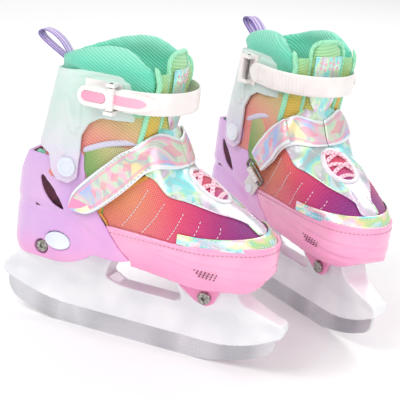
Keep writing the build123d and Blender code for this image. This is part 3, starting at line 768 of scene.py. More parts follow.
class SkateSizes(bpy.types.PropertyGroup):
    """Sizes of the soft and moulded pieces."""

    padding: length("Collar padding", "Thickness of the collar's foam", 11.0, 6.0, 14.0)
    puff: length("Puff", "Most that the collar swells", 1.6, 0.0, 4.0)
    lace_width: length("Lace width", "Width of the flat lace", 4.6, 3.0, 8.0)
    strap_thickness: length("Strap thickness", "Thickness of the instep strap", 1.8, 1.0, 2.2)
    stitch_pitch: length("Stitch pitch", "Distance from stitch to stitch", 4.0, 2.5, 8.0)
    rib_pitch: length("Knit rib pitch", "Distance from rib to rib on the collar", 2.4, 1.2, 4.0)
    mould_voxel: length("Moulding fineness", "Cell size of the moulded shells", 1.1, 0.8, 2.0)


class SkateColours(bpy.types.PropertyGroup):
    """Colours of the plain pieces."""

    mint: shade("Mint", "Bindings of the collar and tongue", "#A4EBC4")
    mustard: shade("Mustard", "Binding along the back of the vamp", "#DE9A3C")
    thread: shade("Thread", "Visible stitches", "#F4EEF2")
    arc: shade("Quarter edge", "Binding over the ankle quarter", "#DAD6E8")
    floor: shade("Floor", "Studio floor", "#FCFCFC")


def thread_of(side, name, tone, dark):
    """Sewing thread, with a twist finer than webbing's weave."""
    return finish_of(plain_webbing, side, name=name, tone=tone, dark=dark, pitch=0.8)


def size(name):
    """One of the scene's sizes, in mm."""
    return getattr(bpy.context.scene.skate_sizes, name) * 1000


def colours():
    """The scene's colours."""
    return bpy.context.scene.skate_colours


# ---------------------------------------------------------------- shells
def push_out(points, amount, centre_x, forward):
    """Moves points away from the boot's spine by an amount each; forward says which end is round."""
    past = np.maximum(points[:, 0] - centre_x, 0) if forward else np.minimum(points[:, 0] - centre_x, 0)
    length = np.maximum(np.hypot(past, points[:, 1]), 1e-6)
    points[:, 0] += amount * past / length
    points[:, 1] += amount * points[:, 1] / length


def soft(value, low, high):
    """Smooth step over an array."""
    t = np.clip((value - low) / (high - low), 0.0, 1.0)
    return t * t * (3 - 2 * t)


def toe_form(points):
    """Tucks the toe shell's bottom edge under and sinks its flowing lines."""
    x, y, z = points.T
    low = (1 - np.clip((z - 79.0) / 20.0, 0, 1)) ** 2
    tuck = -8.0 * low * soft(np.abs(y), 20.5, 36.0) - 4.0 * low * soft(x, 98.0, 116.0)
    side = soft(np.hypot(np.maximum(x - 80, 0), y), 30.0, 34.0)
    wave_one = np.exp(-(((z - (113.0 - 0.07 * (x + 10))) / 1.3) ** 2)) * soft(x, -18, 0)
    wave_two = np.exp(
        -(((z - (108.0 - 0.11 * (x + 10) + 1.6 * np.sin(x / 22.0))) / 1.4) ** 2)
    ) * soft(x, -5, 25)
    wave_three = np.exp(
        -(((z - (100.0 - 0.05 * x + 2.5 * np.sin(x / 30.0 + 1.0))) / 1.6) ** 2)
    ) * soft(x, 20, 60)
    push_out(points, tuck - side * (0.8 * wave_one + 0.9 * wave_two + 0.7 * wave_three), 80.0, True)
    return points


def heel_form(points):
    """Tucks the heel shell's lower edge under and sinks the valley that sweeps along its flank."""
    x, y, z = points.T
    low = (1 - np.clip((z - 69.0) / 15.0, 0, 1)) ** 2
    tuck = -3.5 * low * soft(np.hypot(np.minimum(x + 98, 0), y), 24.0, 32.0)
    valley = np.exp(
        -(((z - (119.0 - 0.0036 * (x + 100) ** 2)) / 4.5) ** 2)
    ) * soft(x, -140, -120) * soft(-x, 20, 45)
    crest = np.exp(
        -(((z - (127.0 - 0.0036 * (x + 100) ** 2)) / 3.0) ** 2)
    ) * soft(x, -140, -120) * soft(-x, 30, 70)
    push_out(points, tuck - 1.5 * valley + 0.5 * crest, -98.0, False)
    return points


def pill(x, z, start, end, radius):
    """1 inside a long round-ended shape of the side view, fading over its edge."""
    ax, az = end[0] - start[0], end[1] - start[1]
    t = np.clip(((x - start[0]) * ax + (z - start[1]) * az) / (ax * ax + az * az), 0, 1)
    return 1 - soft(np.hypot(x - start[0] - t * ax, z - start[1] - t * az), radius - 0.9, radius + 0.9)


def cuff_form(points):
    """Raises the cuff's moulded border, facets and the small bar above its pivot."""
    x, y, z = points.T
    rear = sleeve_rear(z)
    outside = soft(np.hypot(np.minimum(x - rear, 0), y), 39.6, 40.6)
    top = np.interp(x, (-106, -92, -70, -40, -14, 12), (242, 247, 251.5, 257.5, 256.5, 248))
    border = np.exp(-(((top - z - 7.0) / 1.5) ** 2))
    raised = 1.0 * pill(x, z, (-76, 224), (-66, 199), 3.6) + 1.2 * pill(x, z, (-63.5, 226), (-62, 204), 2.6)
    raised += 1.1 * pill(x, z, (-82, 184), (-75, 177), 3.0)
    raised = raised * soft(-x, 50, 56)
    push_out(points, outside * (raised - 0.6 * border), rear, False)
    return points


class SKATES_OT_shells(bpy.types.Operator):
    """Moulds the blade holder, toe shell, heel shell and ankle cuff"""

    bl_idname = "skates.shells"
    bl_label = "Moulded shells"

    def execute(self, context):
        voxel = size("mould_voxel")
        for side in SIDES:
            white = finish_of(gloss_white, side)
            moulded("runner_holder", side, "blade_holder", white, "base", voxel + 0.2, 5)
            moulded(
                "toe_box", side, "toe_shell", finish_of(pink_shell, side), "base", voxel, 4,
                toe_form
            )
            moulded(
                "heel_cup", side, "rear_shell", finish_of(lilac_shell, side), "heel", voxel,
                4, heel_form
            )
            moulded(
                "ankle_cuff", side, "cuff", finish_of(frosted_cuff, side), "cuff", voxel, 4,
                cuff_form
            )
            foam = finish_of(
                knit, side, name="grey_footbed_knit", stops=((0, "#B9BCC8"), (1, "#C9CCD6")), low=90,
                high=104
            )
            moulded("footbed", side, "insole", foam, "base", 1.6, 3)
            cup = finish_of(
                knit, side, name="mint_heel_knit", stops=((0, "#6FD8B4"), (1, "#8DE6C6")), low=100, high=170
            )
            moulded("heel_padding", side, "heel_liner", cup, "heel", 1.8, 6)
        return {"FINISHED"}


class SKATES_OT_details(bpy.types.Operator):
    """Adds the vents, the dark linings behind them, whose darkness is painted shade, and the ring lines on the
    pivot discs
    """

    bl_idname = "skates.details"
    bl_label = "Shell details"

    def execute(self, context):
        for side in SIDES:
            # dark pegs through the toe shell stand for its vent holes: painted shade inside them
            mesh = bmesh.new()
            for hand in (-1, 1):
                for row in range(3):
                    for place in range(7 - row):
                        x = 62 + place * 3.2 + row * 2.4
                        z = 103.5 - 0.11 * (x - 60) - row * 2.3
                        outer, inner = 49.6 - 0.006 * (x - 56) ** 2, 42.8 - 0.006 * (x - 62) ** 2
                        depth = outer if hand < 0 else inner
                        turn = Matrix.Translation((x, hand * depth, z)) @ Matrix.Rotation(math.pi / 2, 4, "X")
                        bmesh.ops.create_cone(
                            mesh, cap_ends=True, segments=8, radius1=0.55, radius2=0.55, depth=1.6,
                            matrix=turn
                        )
            new_piece("toe_vents", side, mesh, "base", finish_of(dark_inside, side))
            # a dark sheet behind the heel shell's vents: burgundy lining in painted shade
            mesh = bmesh.new()
            for hand in (-1, 1):
                patch(mesh, lambda u, v: Vector((-101 + 33 * u, hand * 31.6, 120 + 34 * v)), 6, 6)
            new_piece(
                "vent_lining", side, mesh, "heel", finish_of(dark_inside, side),
                solid=(0.8, 0)
            )
            mesh = bmesh.new()
            for hand in (-1, 1):
                def groove_ring(u, v, hand=hand):
                    angle, radius = 2 * math.pi * u, 4.7 + 0.9 * v
                    return ANKLE_PIVOT + Vector(
                        (radius * math.cos(angle), hand * 44.2, radius * math.sin(angle))
                    )
                patch(mesh, groove_ring, 40, 2, round_u=True)
            disc = finish_of(gloss_white, side, name="white_pivot_disc", tone="#E6EBF2", low_tone="#D8DEEA")
            new_piece("pivot_ring", side, mesh, "heel", disc, solid=(0.7, 0), levels=1)
        return {"FINISHED"}


class SKATES_OT_hardware(bpy.types.Operator):
    """Gives the blade, bolts, pins, rivets, buckle and webbing their finishes"""

    bl_idname = "skates.hardware"
    bl_label = "Hardware finishes"

    def execute(self, context):
        for side in SIDES:
            steel = finish_of(plated_steel, side)
            dark = finish_of(plated_steel, side, name="dark_plated_wire", tone="#77736F")
            disc = finish_of(gloss_white, side, name="white_pivot_disc", tone="#E6EBF2", low_tone="#D8DEEA")
            ivory = finish_of(ivory_strap, side)
            tape = finish_of(plain_webbing, side, name="white_webbing", tone="#F2F0EE", dark="#CFCBC8")
            wanted = {
                "blade": finish_of(blade_steel, side), "front_bolt": steel, "front_nut": steel,
                "rear_bolt": steel,
                "rear_nut": steel, "button_spring": dark, "strap_webbing": tape, "strap_ring": dark,
                "shell_rivets": disc, "size_button": disc, "strap_anchor": ivory, "strap_pins": dark,
                "buckle_base": ivory, "buckle_lever": ivory, "release_tab": finish_of(pink_tab, side),
            }
            for node, material in wanted.items():
                slots = frame["nodes"][f"{side}_{node}"].data.materials
                slots.clear()
                slots.append(material)
        return {"FINISHED"}


# ---------------------------------------------------------------- lining, collar and tongue
COLLAR_TOP = (
    (-110, 257), (-98, 258), (-86, 264), (-67, 271), (-55, 274), (-39, 277), (-27, 278), (-15, 277),
    (-3, 271), (3, 264), (8, 252)
)
COLLAR_FRONT = (
    (180, -9), (196, -6.5), (212, -3.5), (222, -2), (236, 3), (250, 6.5), (262, 4), (270, -2), (280, -8)
)
TONGUE_FRONT = ((176, 15.0), (184, 14.6), (200, 9.0), (216, 11.0), (240, 12.6), (262, 13.2), (278, 10.0))


def boot_side(share, z, reach):
    """Point of the lining's outer face: share runs from the outer front edge round the heel."""
    rear = sleeve_rear(z) - LINING_HALF
    point, out = rounded_plan(share, reach, LINING_HALF, rear, smooth_table(COLLAR_FRONT, z))
    return Vector((point.x, point.y, z)), out


def collar_shape(u, v):
    """Padded collar: up its outer face, over a round crest, down its inner face."""
    trial = boot_side(u, 250.0, 0.0)[0]
    top = smooth_table(COLLAR_TOP, trial.x)
    end = ease(min(u, 1 - u), 0.0, 0.09)
    foam = 5.0 + (size("padding") - 5.0) * end
    bottom = 217.0
    crest = foam / 2
    if v < 0.4:
        z, reach = bottom + (top - crest - bottom) * v / 0.4, 0.0
    elif v < 0.55:
        angle = math.pi * (v - 0.4) / 0.15
        z, reach = top - crest + crest * math.sin(angle), -crest + crest * math.cos(angle)
    elif v < 0.9:
        z, reach = top - crest - (top - crest - bottom) * (v - 0.55) / 0.35, -foam
    else:
        z, reach = bottom, -foam * (1 - v) / 0.1
    bulge = 4.2 * ease(z, 246.0, 260.0) * (0.35 + 0.65 * end) * (1 - ease(z, top - 9, top) * 0.5)
    return boot_side(u, z, reach + bulge)[0]


def tongue_shape(u, v):
    """Padded tongue: a slab, bowed across, with a round top."""
    across = math.cos(2 * math.pi * v)
    depth = math.sin(2 * math.pi * v)
    z = 178.0 + 98.0 * u
    half = smooth_table(
        ((178, 15.0), (200, 17.5), (220, 19.0), (250, 19.5), (266, 18.5), (273, 15.0), (277, 8.0)), z
    )
    y = half * math.copysign(abs(across) ** 0.6, across)
    front = smooth_table(TONGUE_FRONT, z)
    thick = 8.5 * (1 - 0.45 * ease(z, 262, 277))
    return Vector((front - thick / 2 - 0.010 * y * y + thick / 2 * depth, y, z))


class SKATES_OT_lining(bpy.types.Operator):
    """Builds the ankle lining, the padded collar with its bound edges, and the gold side panels"""

    bl_idname = "skates.lining"
    bl_label = "Lining and collar"

    def execute(self, context):
        for side in SIDES:
            peach = finish_of(
                knit, side, name="peach_lining_knit", low=168, high=232, direction=(0.35, 0, 1), rib=(0.45,
                    0.1, 1), pitch=2.6,
                stops=((0.0, "#EE8E86"), (0.25, "#EDA58C"), (0.45, "#E5B789"), (0.7, "#D8C582"),
                    (1.0, "#B9DB9A")))
            mesh = bmesh.new()
            patch(mesh, lambda u, v: boot_side(u, 150 + 74 * v, -0.3)[0], 64, 14)
            lining = new_piece(
                "ankle_lining", side, mesh, None, peach, solid=(5.5, -1), levels=1
            )
            flex_with(lining, side, 150, 205)
            plush = finish_of(
                knit, side, name="mint_collar_knit", low=222, high=274, direction=(0, 0, 1), rib=(0.55,
                    0.25, 1), pitch=size("rib_pitch"),
                stops=((0.0, "#9BE0B4"), (0.35, "#74DDBA"), (0.7, "#69DDBD"), (1.0, "#94EACD")))
            mesh = bmesh.new()
            patch(mesh, collar_shape, 72, 40, round_v=True)
            cap_ends(mesh)
            collar = new_piece("padded_collar", side, mesh, None, plush)
            swell(collar, 4.0, 4.0, size("puff"))
            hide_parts(f"{side}_collar")
            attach(collar, f"{side}_cuff")
            edge = finish_of(
                plain_webbing, side, name="mint_edge_binding", tone=colours().mint, dark="#7FD3A6"
            )
            mesh = bmesh.new()
            for hand in (0.0, 1.0):
                def front_edge(u, share=hand):
                    z = 192 + 74 * u
                    bulge = 1.5 * ease(z, 246, 260)
                    point, _ = boot_side(share, z, -1.6 + bulge)
                    out = Vector((1, -0.6 if share < 0.5 else 0.6, 0)).normalized()
                    return point + Vector((0.6, 0, 0)), out
                tube(mesh, front_edge, 40, 5.2, 3.4)
            cap_ends(mesh)
            bound = new_piece("collar_binding", side, mesh, None, edge)
            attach(bound, f"{side}_cuff")
            gold = finish_of(
                knit, side, name="gold_gusset_knit", low=186, high=262, direction=(0, 0, 1), rib=(0.5, 0.6,
                    1), pitch=2.4,
                stops=((0.0, "#E9B84E"), (0.4, "#E2C455"), (0.6, "#CBD66F"), (1.0, "#9BE2A8")))
            mesh = bmesh.new()
            for hand in (-1, 1):
                def gusset(u, v, hand=hand):
                    z = 176 + 84 * v
                    back = boot_side(0.0 if hand < 0 else 1.0, z, -3.2)[0]
                    front = Vector((smooth_table(TONGUE_FRONT, z) - 6.5, hand * 15.5, z))
                    middle = back.lerp(front, u)
                    return middle + Vector((3.0, hand * 2.2, 0)) * math.sin(math.pi * u)
                patch(mesh, gusset, 10, 20)
            panel = new_piece(
                "side_gussets", side, mesh, None, gold, solid=(1.6, 0), levels=1
            )
            flex_with(panel, side, 195, 245)
        return {"FINISHED"}


class SKATES_OT_tongue(bpy.types.Operator):
    """Builds the padded tongue, its bound edge and the iridescent label with a plain motif"""

    bl_idname = "skates.tongue"
    bl_label = "Tongue"

    def execute(self, context):
        for side in SIDES:
            ribbed = finish_of(
                knit, side, name="green_tongue_knit", low=196, high=276, direction=(0, 0, 1), rib=(0.1,
                    0.15, 1), pitch=3.0,
                stops=((0.0, "#E0C65A"), (0.3, "#D5D878"), (0.6, "#C2E294"), (1.0, "#A2E6B2")))
            mesh = bmesh.new()
            patch(mesh, tongue_shape, 30, 28, round_v=True)
            cap_ends(mesh)
            tongue = new_piece("padded_tongue", side, mesh, None, ribbed)
            swell(tongue, 4.0, 4.0, 0.9)
            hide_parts(f"{side}_tongue")
            flex_with(tongue, side)
            edge = finish_of(
                plain_webbing, side, name="mint_edge_binding", tone=colours().mint, dark="#7FD3A6"
            )
            mesh = bmesh.new()

            def rim(u):
                if u < 0.38:
                    z, y = 204 + (262 - 204) * u / 0.38, -20.0
                elif u > 0.62:
                    z, y = 262 - (262 - 204) * (u - 0.62) / 0.38, 20.0
                else:
                    angle = math.pi * (u - 0.38) / 0.24
                    z, y = 262 + 13.5 * math.sin(angle) ** 0.8, -20.0 * math.copysign(
                        abs(math.cos(angle)) ** 0.7, math.cos(angle)
                    )
                x = smooth_table(TONGUE_FRONT, z) - 1.6 - 0.010 * y * y
                return Vector((x, y, z)), Vector((1, 0.02 * y, 0)).normalized()

            tube(mesh, rim, 72, 4.2, 4.0)
            cap_ends(mesh)
            bound = new_piece("tongue_binding", side, mesh, None, edge)
            flex_with(bound, side)
            mesh = bmesh.new()

            def label(u, v):
                z = 203 + 59 * v
                half = 16.5 * ease(z, 196, 224) ** 0.7
                y = half * (2 * u - 1)
                return Vector((smooth_table(TONGUE_FRONT, z) + 0.9 - 0.010 * y * y, y, z))

            patch(mesh, label, 14, 24)
            film = finish_of(
                iridescent_film, side, name="iridescent_label_film", stops=SILVER_CYAN, size=16.0,
                stretch=(1, 1, 0.4)
            )
            tab = new_piece("tongue_label", side, mesh, None, film, solid=(0.6, 0), levels=1)
            flex_with(tab, side)
            mesh = bmesh.new()
            for column in range(-2, 3):
                for row in range(2):
                    y, z = column * 5.0, 256.0 - row * 5.4 - 1.5 * (column % 2)
                    x = smooth_table(TONGUE_FRONT, z) + 1.3 - 0.010 * y * y
                    tip = Matrix.Rotation(math.pi / 4, 4, "X") @ Matrix.Diagonal((0.5, 2.3, 2.3, 1))
                    turn = Matrix.Translation((x, y, z)) @ tip
                    bmesh.ops.create_cube(mesh, size=1.0, matrix=turn)
            motif = new_piece(
                "label_lozenges", side, mesh, None, finish_of(pink_tab, side), smooth=False
            )
            flex_with(motif, side)
        return {"FINISHED"}


# ---------------------------------------------------------------- upper
def vamp_back(z):
    """How far back the vamp reaches at a height: along the strap above, along the heel shell below."""
    return smooth_table(
        (
            (100, -9.5), (114, -20), (126, -30), (131, -35), (137, -33), (150, -20), (166, -2), (174, 10),
            (182, 20)
        ),
        z
    )


def vamp_rear(share, hand):
    """Where the vamp's back edge lies: share is 0 on the ridge and 1 at its lower edge."""
    low, high = -40.0, 32.0
    for _ in range(24):
        x = (low + high) / 2
        z = upper(x, share * upper_turn(x, 120.0, hand)).z
        low, high = (x, high) if vamp_back(z) > x else (low, x)
    return low


VAMP_REAR = {hand: [(k / 24, vamp_rear(k / 24, hand)) for k in range(25)] for hand in (-1, 1)}


def vamp_point(u, v, grow):
    """Point of the vamp: u runs from its back edge to the toe, v from the outer lower edge to the inner."""
    hand = -1 if v < 0.5 else 1
    share = abs(2 * v - 1)
    rear = smooth_table(VAMP_REAR[hand], share)
    x = rear + (117.5 - rear) * u
    return upper(x, share * upper_turn(x, 120.0, hand), grow)


SADDLE_EDGE = ((4, 83), (22, 63), (48, 46), (70, 33), (86, 19), (96, 15), (106, 26), (110, 26))


def saddle_outline(u):
    """Place and turn of the saddle's outer edge: 0 at its rear, 0.5 at the toe, outer side first."""
    hand = -1 if u < 0.5 else 1
    share = u * 2 if u < 0.5 else (1 - u) * 2
    if share < 0.12:
        return 4.0, hand * math.radians(83) * share / 0.12
    x = 4 + 104 * (share - 0.12) / 0.88
    return x, hand * math.radians(smooth_table(SADDLE_EDGE, x)) * min((1 - share) / 0.04, 1.0)


def throat(u, half_length, half_width):
    """Place and turn on the oval round the laces: 0 at its rear, outer side first."""
    angle = math.pi + 2 * math.pi * u
    x = 50 + half_length * math.cos(angle)
    y = half_width * math.sin(angle)
    return x, turn_across(x, y)


def wall_at(angle, z, grow):
    """Point on the toe's wall at a height, in a direction from the middle of the toe."""
    low, high = 5.0, 75.0
    for _ in range(24):
        reach = (low + high) / 2
        x, y = 60 + reach * math.cos(angle), reach * math.sin(angle)
        outer, inner, spring, ridge = smooth_table(UPPER_SECTIONS, min(x, 117.9))
        half = (outer if y < 0 else inner) + grow
        if x > 117.9 + grow or z >= ridge + grow:
            inside = False
        else:
            inside = abs(y) < half * math.sqrt(
                max(1 - max((z - spring) / (ridge + grow - spring), 0.0) ** 2, 0)
            )
        low, high = (reach, high) if inside else (low, reach)
    return Vector((60 + low * math.cos(angle), low * math.sin(angle), z))


def toe_band(u, v, grow=1.5):
    """Point of the band round the toe."""
    angle = math.radians(-110 + 218 * u)
    top = 131.0 + 1.2 * math.sin(math.pi * u)
    return wall_at(angle, 121.5 + (top - 121.5) * v, grow)


def stitches(mesh, path, count, length=2.4, width=0.7, height=0.45):
    """Row of short stitches along path(share)."""
    for index in range(count):
        share = (index + 0.5) / count
        point, out = path(share)
        ahead = path(min(share + 0.002, 1.0))[0] - path(max(share - 0.002, 0.0))[0]
        along = ahead.normalized()
        across = along.cross(out).normalized()
        up = across.cross(along).normalized()
        turn = Matrix((along, across, up)).transposed().to_4x4()
        place = Matrix.Translation(point) @ turn @ Matrix.Diagonal((length, width, height, 1))
        bmesh.ops.create_cube(mesh, size=1.0, matrix=place)


def on_upper(x, turn, grow):
    """Point on the upper with its outward direction."""
    point = upper(x, turn, grow)
    return point, (upper(x, turn, grow + 1.0) - point + Vector((0.35, 0, 0))).normalized()


class SKATES_OT_upper(bpy.types.Operator):
    """Builds the mesh vamp, ankle quarters, saddle, padded lace border, toe band and their bindings"""

    bl_idname = "skates.upper"
    bl_label = "Upper"

    def execute(self, context):
        for side in SIDES:
            mesh = bmesh.new()
            patch(mesh, lambda u, v: vamp_point(u, v, -0.2), 56, 64)
            vamp = new_piece(
                "mesh_vamp", side, mesh, None, finish_of(sunset_mesh, side), solid=(1.4, -1)
            )
            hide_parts(f"{side}_vamp")
            slide_with(vamp, side)
            mesh = bmesh.new()
            for hand in (-1, 1):
                def quarter(u, v, hand=hand):
                    top = smooth_table(
                        ((-58, 180), (-50, 185), (-34, 192), (-18, 196), (0, 198)), -54 + 56 * u
                    )
                    z = 116 + (top - 116) * v
                    back = smooth_table(
                        ((116, -24), (132, -37), (146, -44.5), (158, -50), (164, -54), (200, -56)), z
                    )
                    x = back + (2 - back) * u
                    return upper(x, upper_turn(x, z, hand), -1.9 * ease(x, -38, -20) - 0.2)
                patch(mesh, quarter, 18, 18)
            new_piece(
                "ankle_quarters", side, mesh, "heel", finish_of(moss_mesh, side),
                solid=(1.2, 0)
            )
            mesh = bmesh.new()
            for hand in (-1, 1):
                def arc(u, hand=hand):
                    x = -57 + 56 * u
                    z = smooth_table(((-58, 180), (-50, 185), (-34, 192), (-18, 196), (0, 198)), x)
                    return on_upper(x, upper_turn(x, z, hand), 0.2)
                tube(mesh, arc, 36, 5.4, 2.6)
            cap_ends(mesh)
            arc_tape = finish_of(
                plain_webbing, side, name="lilac_edge_binding", tone=colours().arc, dark="#BDB6D4"
            )
            new_piece("quarter_binding", side, mesh, "heel", arc_tape)
            mesh = bmesh.new()
            for hand in (-1, 1):
                def back_edge(u, hand=hand):
                    across = 0.5 + hand * (0.5 - 0.24 * u)
                    point = vamp_point(0.0, across, 0.3)
                    return point, (vamp_point(0.0, across, 1.3) - point).normalized()
                tube(mesh, back_edge, 44, 4.4, 1.8)
            cap_ends(mesh)
            mustard = finish_of(
                plain_webbing, side, name="mustard_edge_binding", tone=colours().mustard, dark="#B8741E"
            )
            slide_with(new_piece("vamp_binding", side, mesh, None, mustard), side)

            film = finish_of(
                iridescent_film, side, name="iridescent_saddle_film", stops=SILVER_CYAN, size=26.0,
                stretch=(0.5, 1, 1)
            )
            mesh = bmesh.new()

            def saddle(u, v):
                ax, at = throat(u, 18.5, 15.5)
                bx, bt = saddle_outline(u)
                return upper(ax + (bx - ax) * v, at + (bt - at) * v, 1.0)

            patch(mesh, saddle, 96, 10, round_u=True)
            piece = new_piece("saddle", side, mesh, None, film, solid=(1.0, 0), levels=1)
            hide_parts(f"{side}_vamp_overlays")
            slide_with(piece, side)
            pale = finish_of(
                gloss_white, side, name="white_padded_border", tone="#F3EFF3", low_tone="#DCD6E0"
            )
            mesh = bmesh.new()
            tube(
                mesh, lambda u: on_upper(*throat(u % 1.0, 18.8, 15.6), 1.3), 80, 5.6, 3.6, closed=True,
                power=0.8
            )
            border = new_piece("lace_border", side, mesh, None, pale)
            slide_with(border, side)

            bed = finish_of(
                knit, side, name="coral_lace_bed", low=32, high=70, direction=(1, 0, 0), rib=(1, 0, 0),
                pitch=2.0,
                stops=((0.0, "#E8415F"), (0.4, "#E4466E"), (0.75, "#D0408A"), (1.0, "#A9369A")))
            mesh = bmesh.new()

            def lace_bed(u, v):
                x = 31.5 + 37 * u
                half = 14.8 * math.sqrt(max(1 - ((x - 50) / 18.7) ** 2, 0.02))
                y = half * (2 * v - 1)
                return upper(x, turn_across(x, y), 0.5 + 0.8 * math.cos((v - 0.5) * math.pi))

            patch(mesh, lace_bed, 24, 12)
            slide_with(new_piece("lace_bed", side, mesh, None, bed, solid=(0.8, 0)), side)
            band_film = finish_of(
                iridescent_film, side, name="iridescent_toe_band_film", stops=PASTEL_BAND, size=24.0,
                stretch=(0.8, 0.8, 1.6)
            )
            mesh = bmesh.new()
            patch(mesh, toe_band, 90, 6)
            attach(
                new_piece("toe_band", side, mesh, None, band_film, solid=(1.2, 0), levels=1),
                f"{side}_base"
            )
        return {"FINISHED"}


class SKATES_OT_laces(bpy.types.Operator):
    """Threads the flat lace in crossing rows over the throat"""

    bl_idname = "skates.laces"
    bl_label = "Laces"

    def execute(self, context):
        width = size("lace_width")
        for side in SIDES:
            mesh = bmesh.new()
            rows = []
            for low, high in ((35.5, 45.0), (48.0, 57.5)):
                rows.append((low, high, 1, 1.0))
                rows.append((low, high, -1, 3.0))
            rows.append((63.0, 63.0, 1, 1.2))
            for low, high, hand, over in rows:
                def strand(u, low=low, high=high, hand=hand, over=over):
                    y = hand * (26.4 * u - 13.2) * smooth_table(
                        ((30, 0.9), (42, 1.0), (56, 1.0), (64, 0.72)), low + (high - low) * u
                    )
                    x = low + (high - low) * u
                    turn = turn_across(x, y)
                    tucked = 1.2 * (1 - ease(min(u, 1 - u), 0.0, 0.12))
                    lift = 2.0 + over * math.sin(math.pi * u) ** 1.5 * 0.9 - tucked
                    return on_upper(x, turn, lift)
                tube(mesh, strand, 26, width, 2.4)
            cap_ends(mesh)
            lace = new_piece("flat_laces", side, mesh, None, finish_of(lace_braid, side))
            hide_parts(f"{side}_laces")
            slide_with(lace, side)
        return {"FINISHED"}


# ---------------------------------------------------------------- straps
STRAP_UPPER_EDGE = ((0.0, -67, 136, -1), (0.12, -59, 150, -1), (0.27, -42, 167, -1), (0.42, -22, 185, -1),
    (0.52, -4, 197.5, -1),
                    (0.6, 15.5, 0, 0), (0.68, 4, 199, 1), (0.8, -12, 184, 1), (0.9, -24, 171, 1), (1.0, -34,
                        157, 1))
STRAP_LOWER_EDGE = ((0.0, -61, 129.5, -1), (0.12, -44, 131, -1), (0.27, -24, 145, -1), (0.42, 0, 168, -1),
    (0.52, 16, 178, -1),
                    (0.6, 29.5, 0, 0), (0.68, 20, 175, 1), (0.8, 6, 161, 1), (0.9, -3, 152, 1), (1.0, -12,
                        144, 1))


def edge_rows(table):
    """Strap edge as rows of share, place and turn."""
    return [(share, x, upper_turn(x, z, hand) if hand else 0.0) for share, x, z, hand in table]


UPPER_EDGE, LOWER_EDGE = edge_rows(STRAP_UPPER_EDGE), edge_rows(STRAP_LOWER_EDGE)


def strap_point(share, across, grow):
    """Point of the instep strap: share runs from its round outer end to the ring, across from edge to edge."""
    round_end = 1.0
    if share < 0.085:
        round_end = math.sqrt(max(1 - (1 - share / 0.085) ** 2, 0.03))
    across = 0.5 + (across - 0.5) * round_end
    ux, ut = smooth_table(UPPER_EDGE, share)
    lx, lt = smooth_table(LOWER_EDGE, share)
    crown = 0.5 * math.sin(math.pi * across)
    return upper(lx + (ux - lx) * across, lt + (ut - lt) * across, grow + crown)


def strap_run(u):
    """Plan path of the ankle strap and its outward direction, from the buckle round the front to the pin."""
    straight_out, bend, straight_in = 12.0, math.pi * 46.9, 30.0
    at = u * (straight_out + bend + straight_in)
    if at < straight_out:
        return Vector((-32 + at, -46.9, 235)), Vector((0, -1, 0))
    if at > straight_out + bend:
        return Vector((-20 - (at - straight_out - bend), 46.9, 235)), Vector((0, 1, 0))
    angle = -math.pi / 2 + (at - straight_out) / 46.9
    out = Vector((math.cos(angle), math.sin(angle), 0))
    return Vector((-20, 0, 235)) + out * 46.9, out


